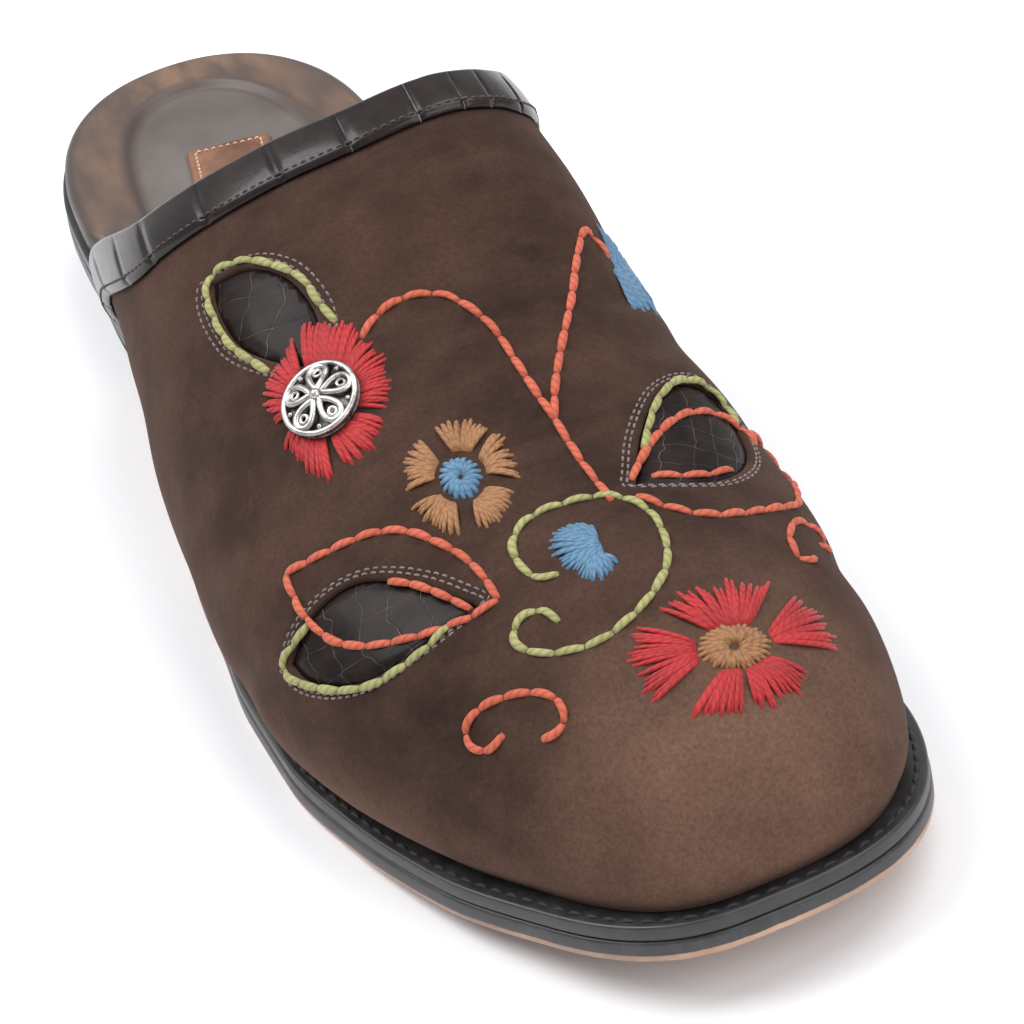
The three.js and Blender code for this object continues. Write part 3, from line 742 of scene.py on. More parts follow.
def plate(name, profile, z_at, material, replaces, end=1.0, count=230, middles=5):
    """A plate swept along the outline. profile(station, side) gives rows of inset and height."""
    stations = spread_stations(end, count)
    points = []
    insets = []
    levels = []
    shares = np.linspace(0, 1, middles + 2)[1:-1, None]
    for station in stations:
        sides = []
        for side in (1, -1):
            rows = profile(station, side)
            places = [outline_point(np.float64(station), side, inset) for inset, _ in rows]
            sides.append(np.array([(x, y, z_at(x, height), inset, height)
                                   for (x, y), (inset, height) in zip(places, rows)]))
        medial, lateral = sides
        ring = np.vstack([medial, mix(medial[-1], lateral[-1], shares),
                          lateral[::-1], mix(lateral[0], medial[0], shares)])
        half = abs(ring[:, 1])
        reach = max(half.max(), 1e-6)
        points.append(ring[:, :3])
        insets.append(ring[:, 3] + np.maximum(0, reach - half - ring[:, 3]))
        levels.append(ring[:, 4])
    columns = len(points[0])
    faces = grid_faces(len(stations), columns, True)
    if end < 1:
        faces.append(end_caps(len(stations), columns)[1])
    along = np.repeat(stations, columns)
    attributes = {"inset": np.concatenate(insets), "level": np.concatenate(levels), "station": along}
    make_piece(name, np.vstack(points), faces, material, replaces, attributes, merge=0.01)


def round_edge(inset, low, high, radius, steps=4):
    """Rows up an edge with both corners rounded."""
    rows = []
    for t in np.linspace(0, math.pi / 2, steps):
        rows.append((inset + radius * (1 - math.sin(t)), low + radius * (1 - math.cos(t))))
    for t in np.linspace(0, math.pi / 2, steps):
        rows.append((inset + radius * (1 - math.cos(t)), high - radius * (1 - math.sin(t))))
    return rows


WELT_GROOVE = 6.0         # channel under the forefoot, in from the sole's edge
OUTSOLE_ROUND = 0.7
OUTSOLE_FILL = 0.12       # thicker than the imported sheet, so that the seam above it shows no light
MIDSOLE_EDGE = {"inset": 0.15, "round": 0.5, "seam": 0.16, "fill": 0.1}
LIFT_GROOVE = 0.22
FOOTBED_ROUND = 2.2
FOOTBED_SLOPE = 1.9       # width of the slope from the rim to the recess
FOOTBED_DROP = 0.05       # the rim's edges lie this far under the footbed's full thickness


def over_underside(x, height):
    return underside(x) + height


def outsole(material):
    def profile(station, side):
        across = ((1.6, 0), (0.7, 0), (0, CHANNEL["depth"]), (-0.7, 0))
        groove = [(WELT_GROOVE + aside, depth) for aside, depth in across]
        return groove + round_edge(0, 0, OUTSOLE_THICKNESS + OUTSOLE_FILL, OUTSOLE_ROUND)

    plate("outsole_leather", profile, over_underside, material, ["outsole"])


def midsole(material):
    base = OUTSOLE_THICKNESS + MIDSOLE_EDGE["seam"]
    top = base + MIDSOLE_THICKNESS + MIDSOLE_EDGE["fill"]

    def profile(station, side):
        return round_edge(MIDSOLE_EDGE["inset"], base, top, MIDSOLE_EDGE["round"])

    plate("midsole_leather", profile, over_underside, material, ["midsole"])


def heel_layer(name, low, high, ridges, material, node):
    """One or more stacked lifts, with a fine groove between them."""
    top = HEEL_HEIGHT - GAP

    def taper(height):
        return HEEL_INSET + HEEL_TAPER * (1 - height / top)

    def profile(station, side):
        rows = []
        bounds = np.linspace(low, high, ridges + 1)
        for start, end in zip(bounds[:-1], bounds[1:]):
            for height, dent in ((start, LIFT_GROOVE), (start + LIFT_GROOVE, 0),
                                 (end - LIFT_GROOVE, 0), (end, LIFT_GROOVE)):
                rows.append((taper(height) + dent, height))
        return rows

    def z_at(x, height):
        if high < top:
            return height
        share = (height - low) / (high - low)
        return mix(low, underside(x) - 0.02, share) if height > low else low

    plate(name, profile, z_at, material, [node], end=HEEL_LENGTH / LENGTH, count=90)


def footbed(material):
    def inset_at(station, side):
        collar = COLLAR_SHARE[side_name(side)](0.0)
        ramp = 10 / LENGTH
        binding = FEATHER_INSET + UPPER_WALL + BINDING_LEATHER + 3 * GAP
        wall = FEATHER_INSET + UPPER_WALL + 2.5 * GAP
        entry = smooth((station - collar + 1.6 * ramp) / ramp)
        past = smooth((station - collar - (BINDING_INNER_WIDTH + 8) / LENGTH) / ramp)
        return mix(mix(FOOTBED_INSET, binding, entry), wall, past)

    def profile(station, side):
        edge = float(inset_at(station, side))
        top = FOOTBED_THICKNESS
        rim = FOOTBED_INSET + FOOTBED_RIM
        rows = [(edge + 0.5, 0), (edge + 0.1, 0.35)]
        for t in np.linspace(0, math.pi / 2, 6):
            rows.append((edge + FOOTBED_ROUND * (1 - math.cos(t)),
                         top - FOOTBED_ROUND * (1 - math.sin(t)) - FOOTBED_DROP))
        for share in (0.35, 0.6, 0.8, 0.92):
            crown = 0.35 * math.sin(math.pi * share)
            rows.append((mix(edge + FOOTBED_ROUND, rim, share), top - FOOTBED_DROP + crown * 0.4))
        for share in (0.0, 0.3, 0.6, 1.0):
            fall = float(smooth(share)) * FOOTBED_RECESS + 0.25 * math.exp(-((share - 0.8) / 0.25) ** 2)
            rows.append((rim + FOOTBED_SLOPE * share, top - fall))
        rows.append((rim + 3.2, top - FOOTBED_RECESS))
        rows.append((rim + 6.0, top - FOOTBED_RECESS))
        return rows

    plate("footbed_leather", profile, lambda x, height: bed_z(x) + height, material, ["footbed"],
          middles=9)


# Stitches: many small threads joined in one mesh
THREAD_SINK = 0.35


class Threads:
    def __init__(self, sides=6):
        self.sides = sides
        self.points = []
        self.faces = []
        self.uvs = []
        self.count = 0

    def add(self, centres, normals, width, height, lift, taper=(1.0, 1.0), turns=0.0):
        """One thread over centres, with its ends sunk; width and height are whole sizes."""
        centres = np.asarray(centres)
        number = len(centres)
        sideways = unit(np.cross(normals, unit(np.gradient(centres, axis=0))))
        share = np.linspace(0, 1, number)
        arch = np.sin(math.pi * np.clip(share, 0.02, 0.98)) ** 0.45
        middle = centres + normals * (lift * arch - THREAD_SINK * (1 - arch))[:, None]
        girth = mix(taper[0], taper[1], share) * mix(0.62, 1.0, arch)
        lengths = run_lengths(centres) + turns
        wide, high = width * girth / 2, height * girth / 2
        self.points += list(tube(middle, sideways, normals, wide, high, self.sides))
        faces = grid_faces(number, self.sides, True) + end_caps(number, self.sides)
        self.faces += [tuple(self.count + corner for corner in face) for face in faces]
        self.count += number * self.sides
        for k in range(number - 1):
            for s in range(self.sides):
                corners = ((k, s), (k + 1, s), (k + 1, s + 1), (k, s + 1))
                self.uvs += [(lengths[row], turn / self.sides) for row, turn in corners]
        for ring in (0, number - 1):
            self.uvs += [(lengths[ring], 0.5)] * self.sides

    def make(self, name, material):
        make_piece(name, np.array(self.points), self.faces, material, uvs=self.uvs)


# Places on the upper by the photograph's pixels
def photo_axes():
    azimuth, elevation, roll = (math.radians(PHOTO[key]) for key in ("azimuth", "elevation", "roll"))
    back = np.array([math.sin(azimuth) * math.cos(elevation), -math.cos(azimuth) * math.cos(elevation),
                     math.sin(elevation)])
    right = np.array([math.cos(azimuth), math.sin(azimuth), 0])
    up = np.cross(back, right)
    turned_right = math.cos(roll) * right + math.sin(roll) * up
    turned_up = -math.sin(roll) * right + math.cos(roll) * up
    return turned_right, turned_up, back


RIGHT, UP, BACK = photo_axes()
EYE = np.array(PHOTO["target"]) + BACK * PHOTO["distance"]


def pixel_ray(pixel):
    x = (pixel[0] - PHOTO["centre_px"]) / PHOTO["focal_px"]
    y = (PHOTO["centre_px"] - pixel[1]) / PHOTO["focal_px"]
    return unit(RIGHT * x + UP * y - BACK)


def twin_local(vector, is_point):
    """A point or direction seen from the twin, mirrored into this shoe."""
    turn = math.radians(TWIN["turn"])
    x, y = vector[0], vector[1]
    if is_point:
        x, y = x - TWIN["shift"][0], y - TWIN["shift"][1]
    return np.array([x * math.cos(turn) + y * math.sin(turn),
                     -(-x * math.sin(turn) + y * math.cos(turn)), vector[2]])


NEAREST_SEARCH = (520, 900, 160)    # first and last distance from the eye, and the number of steps


def hit(pixel, twin=False):
    """Where the pixel's ray meets the upper or passes nearest to it, and the face's normal there."""
    eye, ray = EYE, pixel_ray(pixel)
    if twin:
        eye, ray = twin_local(eye, True), twin_local(ray, False)
    place, normal, _, _ = GROUND.ray_cast(Vector(eye), Vector(ray))
    if place is None:
        steps = [eye + ray * reach for reach in np.linspace(*NEAREST_SEARCH)]
        found = [GROUND.find_nearest(Vector(step)) for step in steps]
        place, normal, _, _ = min(found, key=lambda row: row[3])
    normal = np.array(normal)
    place = np.array(place)
    if normal[1:] @ place[1:] < 0:
        normal = -normal
    return place, normal


def on_upper(pixels, twin=False):
    """Points and normals on the upper under a run of pixels."""
    found = [hit(pixel, twin) for pixel in pixels]
    points = np.array([row[0] for row in found])
    normals = np.array([row[1] for row in found])
    return points, normals


def softened(rows, times):
    for _ in range(times):
        rows[1:-1] = (rows[:-2] + 2 * rows[1:-1] + rows[2:]) / 4
    return rows


def traced(knots, steps=7):
    """A smooth run over the upper through knots on it: points and normals about 0.5 mm apart."""
    found = [GROUND.find_nearest(Vector(point)) for point in spline(knots, steps)]
    points = np.array([row[0] for row in found])
    normals = np.array([row[1] for row in found])
    middle = points * [1, 0, 0]
    normals *= np.sign(np.sum(normals * (points - middle), axis=1))[:, None]
    joined = np.hstack([softened(points, 2), softened(normals, 4)])
    length = np.linalg.norm(np.diff(points, axis=0), axis=1).sum()
    joined = resample(joined, max(4, int(length / 0.5)))
    return joined[:, :3], unit(joined[:, 3:])


RANDOM = np.random.default_rng(7)
VINE, TOPSTITCH, WELT_STITCH, CHANNEL_STITCH, PATCH_STITCH = named_rows(
    "stitch gap width height lift",
    (4.3, 0.12, 1.32, 0.9, 0.3),
    (1.5, 0.22, 0.42, 0.36, 0.14),
    (3.0, 0.6, 0.75, 0.6, 0.18),
    (3.6, 0.8, 0.8, 0.6, 0.0),
    (1.35, 0.4, 0.5, 0.4, 0.12),
)
SATIN = {"more": 1.4, "height": 0.75, "lift": 0.4, "taper": (0.95, 0.8)}
PATCH_STITCH_INSET = 1.5


def run_stitches(threads, points, normals, style, samples=7):
    lengths = run_lengths(points)
    number = max(1, int(round(lengths[-1] / style["stitch"])))
    pitch = lengths[-1] / number
    for k in range(number):
        start = k * pitch + style["gap"] / 2
        end = (k + 1) * pitch - style["gap"] / 2
        goals = np.linspace(start, end, samples)
        centres = sampled(goals, lengths, points)
        facing = unit(sampled(goals, lengths, normals))
        girth = RANDOM.uniform(0.9, 1.08)
        threads.add(centres, facing, style["width"] * girth, style["height"] * girth, style["lift"],
                    turns=RANDOM.uniform(0, 20))


def fan(threads, inner, outer, number, twin=False, width=1.0, jitter=0.11):
    """Loose satin stitches from an inner run of pixels to an outer one, with a fringe at their ends."""
    number = round(number * SATIN["more"])
    starts = resample(np.array(inner, float), number)
    ends = resample(np.array(outer, float), number)
    spread = np.linalg.norm(ends[-1] - ends[0]) / number
    for k in range(number):
        reach = 1 + RANDOM.uniform(-jitter, jitter * 0.6)
        end = ends[k] + RANDOM.uniform(-0.6, 0.6, 2) * spread
        run = np.array([mix(starts[k], end, t * reach) for t in np.linspace(0, 1, 6)])
        points, normals = on_upper(run, twin)
        threads.add(points, softened(normals, 1), width * RANDOM.uniform(0.9, 1.1), SATIN["height"],
                    SATIN["lift"] + RANDOM.uniform(-0.15, 0.15), SATIN["taper"],
                    turns=RANDOM.uniform(0, 20))


def arc(centre, radius, start, end, count=9):
    """Pixels on an arc or ellipse; angles in degrees, up is 90."""
    radius_x, radius_y = radius
    return [(centre[0] + radius_x * math.cos(math.radians(angle)),
             centre[1] - radius_y * math.sin(math.radians(angle)))
            for angle in np.linspace(start, end, count)]


# Embroidery by colour: knots of each line in the photograph's pixels. What lies on the medial side comes
# from the twin, in part moved one by one, and a line that goes on round there has front and twin knots in
# turn
ORANGE_LINES = [
    [("front", [(243, 428), (252, 414), (263, 404), (279, 397), (301, 396), (319, 404), (340, 422),
     (355, 445), (370, 468), (383, 486)])],
    [("twin", [(472, 353)]), ("front", [(405, 350), (399, 368), (395, 399), (388, 432), (383, 463),
     (383, 486)])],
    [("front", [(383, 486), (391, 500), (400, 514), (412, 530), (424, 545)])],
    [("front", [(342, 616), (330, 598), (315, 584), (296, 574), (277, 567), (258, 567), (240, 572),
     (212, 585), (188, 598)])],
    [("front", [(188, 598), (195, 616), (205, 632), (222, 646), (245, 650), (270, 646), (300, 638),
     (322, 629), (342, 616)])],
    [("front", [(262, 603), (280, 605), (300, 612), (322, 623)])],
    [("front", [(438, 530), (447, 511), (459, 495), (473, 484), (488, 481), (504, 485), (519, 495),
     (528, 506)]), ("twin", [(556, 484), (550, 500), (553, 520), (566, 530), (584, 527)]),
     ("front", [(557, 548), (532, 552), (505, 555), (484, 554), (463, 549), (441, 541)])],
    [("front", [(452, 527), (475, 527), (494, 526), (511, 522)])],
    [("front", [(346, 713), (337, 724), (325, 724), (318, 712), (326, 697), (342, 688), (363, 683),
     (381, 686), (390, 698), (385, 712), (373, 717)])],
    [("twin", [(352, 345), (351, 354), (353, 362), (360, 372), (378, 378), (385, 370), (390, 353),
     (387, 338), (380, 333), (373, 337), (373, 347)])],
    [("twin", [(643, 547), (637, 558), (627, 553), (629, 537), (641, 524), (658, 520), (674, 522),
     (684, 530), (677, 540), (668, 542)])],
]
GREEN_LINES = [
    [("front", [(176, 452), (164, 444), (151, 435), (143, 425), (136, 411), (131, 394), (138, 379),
     (151, 373), (164, 371), (187, 377), (202, 386), (212, 401), (225, 416)])],
    [("front", [(205, 634), (196, 646), (188, 658), (187, 668), (197, 676), (222, 682), (248, 679),
     (268, 668), (289, 652), (308, 634)])],
    [("front", [(386, 597), (372, 601), (358, 592), (352, 576), (360, 561), (374, 552), (396, 545),
     (421, 541), (441, 546), (455, 557), (463, 575), (463, 593), (452, 613), (435, 631), (413, 647),
     (381, 655), (358, 651), (353, 640), (360, 628), (374, 624), (386, 632)])],
    [("front", [(447, 507), (450, 492), (455, 476), (464, 463), (475, 458), (491, 462), (505, 476),
     (514, 490)])],
]
TOE_FLOWER = (512, 650)
TOE_FLOWER_PETALS = named_rows(
    "inner outer number",
    ([(496, 638), (522, 634)], [(460, 621), (476, 612), (506, 603), (536, 604)], 15),
    ([(537, 640), (540, 646)], [(557, 612), (573, 624), (583, 640), (584, 653)], 11),
    ([(537, 657), (521, 665)], [(567, 671), (557, 685), (542, 692), (528, 694)], 10),
    ([(516, 665), (504, 667)], [(516, 698), (498, 699), (478, 702)], 9),
    ([(486, 660), (484, 647)], [(453, 691), (439, 668), (437, 648), (440, 636)], 12),
)
BUTTON_FLOWER_PETALS = named_rows(
    "inner outer number",
    ([(204, 450), (229, 450)], [(201, 420), (219, 415), (240, 418)], 13),
    ([(231, 451), (237, 476)], [(242, 424), (256, 437), (264, 460), (263, 476)], 15),
    ([(236, 483), (222, 497)], [(261, 486), (251, 507), (233, 520)], 12),
    ([(216, 498), (196, 490)], [(222, 529), (206, 526), (187, 507)], 12),
    ([(193, 482), (199, 455)], [(182, 488), (173, 476), (177, 454), (193, 430)], 13),
)
TAN_FLOWER = (315, 528)
TAN_FLOWER_ANGLES = (88, 28, -41, -120, 165)
BLUE_HALF_FLOWER, TWIN_BLUE_HALF_FLOWER = named_rows(
    "inner outer number",
    ([(413, 574), (417, 578), (417, 584)],
     [(409, 562), (396, 560), (384, 567), (378, 578), (384, 588), (395, 596), (408, 603), (420, 600),
      (428, 590)], 24),
    ([(471, 354), (475, 358), (481, 359)],
     [(440, 340), (438, 361), (447, 380), (455, 394), (468, 403), (480, 403), (490, 396), (498, 390),
      (506, 380)], 24),
)


def embroider(name, material, lines):
    threads = Threads(8)
    for line in lines:
        knots = np.vstack([on_upper(pixels, shoe == "twin")[0] for shoe, pixels in line])
        run_stitches(threads, *traced(knots), VINE)
    threads.make(name, material)


def red_flowers(material):
    threads = Threads()
    for petal in TOE_FLOWER_PETALS + BUTTON_FLOWER_PETALS:
        fan(threads, **petal)
    threads.make("flowers_red", material)


def tan_flowers(material):
    threads = Threads()
    for angle in TAN_FLOWER_ANGLES:
        inner = arc(TAN_FLOWER, (19, 19), angle - 16, angle + 16)
        outer = arc(TAN_FLOWER, (41, 41), angle - 27, angle + 27)
        fan(threads, inner, outer, 9, jitter=0.08)
    for reach, number in (((27, 17), 22), ((16, 11), 14)):
        inner = arc(TOE_FLOWER, (4, 3), 0, 344)
        fan(threads, inner, arc(TOE_FLOWER, reach, 0, 344, 23), number, width=1.1)
    threads.make("flowers_tan", material)


def blue_flowers(material):
    threads = Threads()
    fan(threads, arc(TAN_FLOWER, (2, 2), 0, 338), arc(TAN_FLOWER, (16, 16), 0, 338, 17), 13, width=1.3)
    fan(threads, **BLUE_HALF_FLOWER)
    fan(threads, **TWIN_BLUE_HALF_FLOWER, twin=True, width=1.5)
    threads.make("flowers_blue", material)


def flat_normals(a, r):
    step = 0.2
    offset = np.zeros(len(a))
    along = upper_flat_points(a + step, r, offset) - upper_flat_points(a - step, r, offset)
    above = upper_flat_points(a, r + step, offset) - upper_flat_points(a, r - step, offset)
    return unit(np.cross(along, above))


def flat_run(flat, offset):
    margin = 0.3
    a = np.clip(flat[:, 0], margin, 2 * FLAT_MIDDLE - margin)
    r = np.clip(flat[:, 1], margin, FLAT_HEIGHT - margin)
    return upper_flat_points(a, r, np.full(len(a), offset)), flat_normals(a, r)


def topstitching(material):
    """Tone-on-tone rows round each leaf."""
    threads = Threads()
    for loop in LEAF_LOOPS:
        for distance in (STITCH_GROOVE["from_edge"], STITCH_GROOVE["from_edge"] + STITCH_ROW_GAP):
            closed = grown(loop, distance)
            closed = np.vstack([closed, closed[:1]])
            points, normals = flat_run(closed, -STITCH_GROOVE["depth"] * 0.6)
            run_stitches(threads, points, normals, TOPSTITCH, samples=5)
    threads.make("leaf_topstitching", material)


def binding_stitching(material):
    """One row near the band's lower edge."""
    threads = Threads()
    rows = []
    normals = []
    for side, rise in band_places(150):
        at = min(max(rise, 0.01), 1.0)
        distance = BINDING_WIDTH - BINDING_STITCH_INSET
        point = band_point(side, at, distance, BINDING_LEATHER + BINDING_STITCH_RISE)
        rows.append(point)
        normals.append(band_point(side, at, distance, 6.0) - point)
    run_stitches(threads, softened(np.array(rows), 2), unit(np.array(normals)), TOPSTITCH, samples=5)
    threads.make("binding_stitching", material)


LEDGE_STITCH = {"inset": MIDSOLE_INSET + 1.05, "start": 0.30}
CHANNEL = {"depth": 0.3, "start": 0.27}


def sole_run(inset, height, start, count=400):
    """Points on a sole layer's face, from a station on the medial side round the toe to the lateral."""
    stations = 1 - (1 - start) * np.sin(np.linspace(math.pi / 2, 0, count)) ** 1.6
    rows = []
    for side, order in ((1, 1), (-1, -1)):
        x, y = outline_point(stations[::order], side, inset)
        rows.append(np.stack([x, y, underside(x) + height], axis=1))
    return resample(np.vstack(rows), 2 * count)


def sole_stitching(material):
    """Lockstitch on the welt's ledge, and in the channel under the forefoot."""
    threads = Threads()
    top = OUTSOLE_THICKNESS + MIDSOLE_THICKNESS + MIDSOLE_EDGE["seam"] + MIDSOLE_EDGE["fill"]
    ledge = sole_run(LEDGE_STITCH["inset"], top, LEDGE_STITCH["start"])
    run_stitches(threads, ledge, np.tile([0.0, 0.0, 1.0], (len(ledge), 1)), WELT_STITCH, samples=5)
    channel = sole_run(WELT_GROOVE, CHANNEL["depth"], CHANNEL["start"])
    run_stitches(threads, channel, np.tile([0.0, 0.0, -1.0], (len(channel), 1)), CHANNEL_STITCH, samples=5)
    threads.make("sole_stitching", material)


def patch_place(x, y, height):
    """Points of the patch from its own axes."""
    along = PATCH_CENTRE + x * math.cos(PATCH_TURN) - y * math.sin(PATCH_TURN)
    across = x * math.sin(PATCH_TURN) + y * math.cos(PATCH_TURN)
    return np.stack([along, across, bed_z(along) + FOOTBED_THICKNESS - FOOTBED_RECESS + height], axis=-1)


def insole_patch(material, thread_material):
    count = 41
    half = PATCH_SIZE / 2
    grid = np.linspace(-half, half, count)
    x, y = np.meshgrid(grid, grid)
    edge = half - np.maximum(abs(x), abs(y))
    frame_dent = 0.18 * np.exp(-((edge - PATCH_STITCH_INSET) / 0.5) ** 2)
    top = GAP + PATCH_THICKNESS * (0.55 + 0.45 * smooth(edge / 0.8)) - frame_dent
    upper_face = patch_place(x.ravel(), y.ravel(), top.ravel())
    lower_face = patch_place(x.ravel(), y.ravel(), np.zeros(x.size))
    faces = walled(grid_faces(count, count), x.size)
    make_piece("insole_patch_leather", np.vstack([upper_face, lower_face]), faces, material,
               ["insole_patch"])
    threads = Threads()
    reach = half - PATCH_STITCH_INSET
    corners = reach * np.array([(-1, -1), (1, -1), (1, 1), (-1, 1), (-1, -1)])
    for first, second in zip(corners[:-1], corners[1:]):
        run = resample(np.array([first, second]), 30)
        points = patch_place(run[:, 0], run[:, 1], GAP + PATCH_THICKNESS - 0.12)
        run_stitches(threads, points, np.tile([0.0, 0.0, 1.0], (len(points), 1)), PATCH_STITCH, samples=5)
    threads.make("patch_stitching", thread_material)


# Filigree button, in its own axes: x and y in its plane, z out of the upper
BUTTON_RADIUS = BUTTON_DIAMETER / 2
BUTTON_BASE = 0.85
BUTTON_PETALS = 5
DOME_RISE = 1.25
PETAL = {"from": 0.9, "length": 4.5, "half_width": 1.85}
RIM_INSET = 0.6
WIRES = {"rim": 0.5, "petal": 0.52, "ring": 0.3}
RING = {"out": 4.0, "radius": 0.6}
BEADS = {"out": 5.0, "radius": 0.45, "boss": 0.95}
DISH = [(0.02, 1.25), (2.0, 1.15), (4.0, 0.75), (5.4, 0.4), (6.0, 0.3), (6.25, 0.2), (6.25, -0.25),
        (6.0, -0.4), (0.02, -0.4)]    # radius and height


def button_axes():
    step = 0.01
    side, station, rise = (np.float64(BUTTON[key]) for key in ("side", "station", "rise"))
    centre = upper_point(station, side, rise, 0.0)
    along = upper_point(station + step, side, rise, 0.0) - centre
    up = upper_point(station, side, rise + step, 0.0) - centre
    normal = unit(np.cross(along, up)) * -side
    x_axis = unit(along)
    return centre, x_axis, np.cross(normal, x_axis), normal


def dome_height(radius):
    return BUTTON_BASE + DOME_RISE * (1 - (radius / BUTTON_RADIUS) ** 2)


def wire_ring(centres, radius, sides=10):
    """A closed tube over a closed run of points in the button's axes."""
    tangents = unit(np.roll(centres, -1, axis=0) - np.roll(centres, 1, axis=0))
    sideways = unit(np.cross(np.array([0.0, 0.0, 1.0]), tangents))
    rings = tube(centres, sideways, np.cross(tangents, sideways), radius, radius, sides)
    faces = grid_faces(len(centres) + 1, sides, True)
    return rings, [tuple(corner % len(rings) for corner in face) for face in faces]


def on_dome(x, y, lift=0.0):
    return np.stack([x, y, dome_height(np.hypot(x, y)) + lift], axis=-1)


def teardrop(angle, steps=36):
    """A petal loop: narrow at the middle of the button, round near its rim."""
    t = np.linspace(0, 2 * math.pi, steps, endpoint=False)
    out = PETAL["from"] + PETAL["length"] * (1 - np.cos(t)) / 2
    across = PETAL["half_width"] * np.sin(t) * np.sin(t / 2) ** 1.1
    return on_dome(out * math.cos(angle) - across * math.sin(angle),
                   out * math.sin(angle) + across * math.cos(angle))


def bead(place, radius, sides=10, rings=7):
    """A small ball as rings round its own axis."""
    rows = []
    for tilt in np.linspace(0.12, math.pi - 0.12, rings):
        for turn in np.linspace(0, 2 * math.pi, sides, endpoint=False):
            rows.append(place + radius * np.array([math.sin(tilt) * math.cos(turn),
                                                   math.sin(tilt) * math.sin(turn), math.cos(tilt)]))
    return np.array(rows), grid_faces(rings, sides, True) + end_caps(rings, sides)


def filigree_button(silver, dark_silver):
    centre, x_axis, y_axis, normal = button_axes()

    def placed(local):
        return centre + local[:, :1] * x_axis + local[:, 1:2] * y_axis + (local[:, 2:] + 2 * GAP) * normal

    turn = np.linspace(0, 2 * math.pi, 72, endpoint=False)
    rim = BUTTON_RADIUS - RIM_INSET
    parts = [wire_ring(on_dome(rim * np.cos(turn), rim * np.sin(turn)), WIRES["rim"])]
    for petal in range(BUTTON_PETALS):
        angle = (petal + 0.25) / BUTTON_PETALS * 2 * math.pi
        between = angle + math.pi / BUTTON_PETALS
        parts.append(wire_ring(teardrop(angle), WIRES["petal"]))
        ring_x = RING["out"] * math.cos(angle) + RING["radius"] * np.cos(turn[::3])
        ring_y = RING["out"] * math.sin(angle) + RING["radius"] * np.sin(turn[::3])
        parts.append(wire_ring(on_dome(ring_x, ring_y, -0.1), WIRES["ring"], 8))
        place = on_dome(BEADS["out"] * math.cos(between), BEADS["out"] * math.sin(between), -0.15)
        parts.append(bead(place, BEADS["radius"]))
    parts.append(bead(on_dome(np.float64(0), np.float64(0), 0.15), BEADS["boss"], 16))
    points = []
    faces = []
    for rows, quads in parts:
        faces += [tuple(corner + len(points) for corner in face) for face in quads]
        points += list(rows)
    make_piece("filigree_button_silver", placed(np.array(points)), faces, silver, ["filigree_button"])
    rows = [(radius * math.cos(angle), radius * math.sin(angle), height)
            for radius, height in DISH for angle in turn]
    faces = grid_faces(len(DISH), len(turn), True) + end_caps(len(DISH), len(turn))
    make_piece("filigree_button_dish", placed(np.array(rows)), faces, dark_silver)


def main():
    materials = make_materials()
    upper_suede(materials["suede"])
    upper_lining(materials["lining"])
    leaf_inlays(materials["croc"])
    collar_binding(materials["croc"])
    outsole(materials["outsole"])
    midsole(materials["midsole"])
    heel_layer("heel_lifts", TOP_PIECE_THICKNESS + 0.05, HEEL_HEIGHT - GAP, 3, materials["heel"],
               "heel_block")
    heel_layer("heel_rubber_lift", 0, TOP_PIECE_THICKNESS, 1, materials["rubber"], "heel_top_piece")
    footbed(materials["footbed"])
    embroider("vines_orange", materials["thread_orange"], ORANGE_LINES)
    embroider("vines_green", materials["thread_green"], GREEN_LINES)
    red_flowers(materials["thread_red"])
    tan_flowers(materials["thread_tan"])
    blue_flowers(materials["thread_blue"])
    topstitching(materials["thread_topstitch"])
    binding_stitching(materials["thread_binding"])
    sole_stitching(materials["thread_sole"])
    insole_patch(materials["patch"], materials["thread_patch"])
    filigree_button(materials["silver"], materials["dark_silver"])
    make_stage()
    make_camera()


# Materials
def linear(value):
    share = value / 255
    return share / 12.92 if share <= 0.04045 else ((share + 0.055) / 1.055) ** 2.4


def srgb(red, green, blue):
    return (linear(red), linear(green), linear(blue), 1.0)


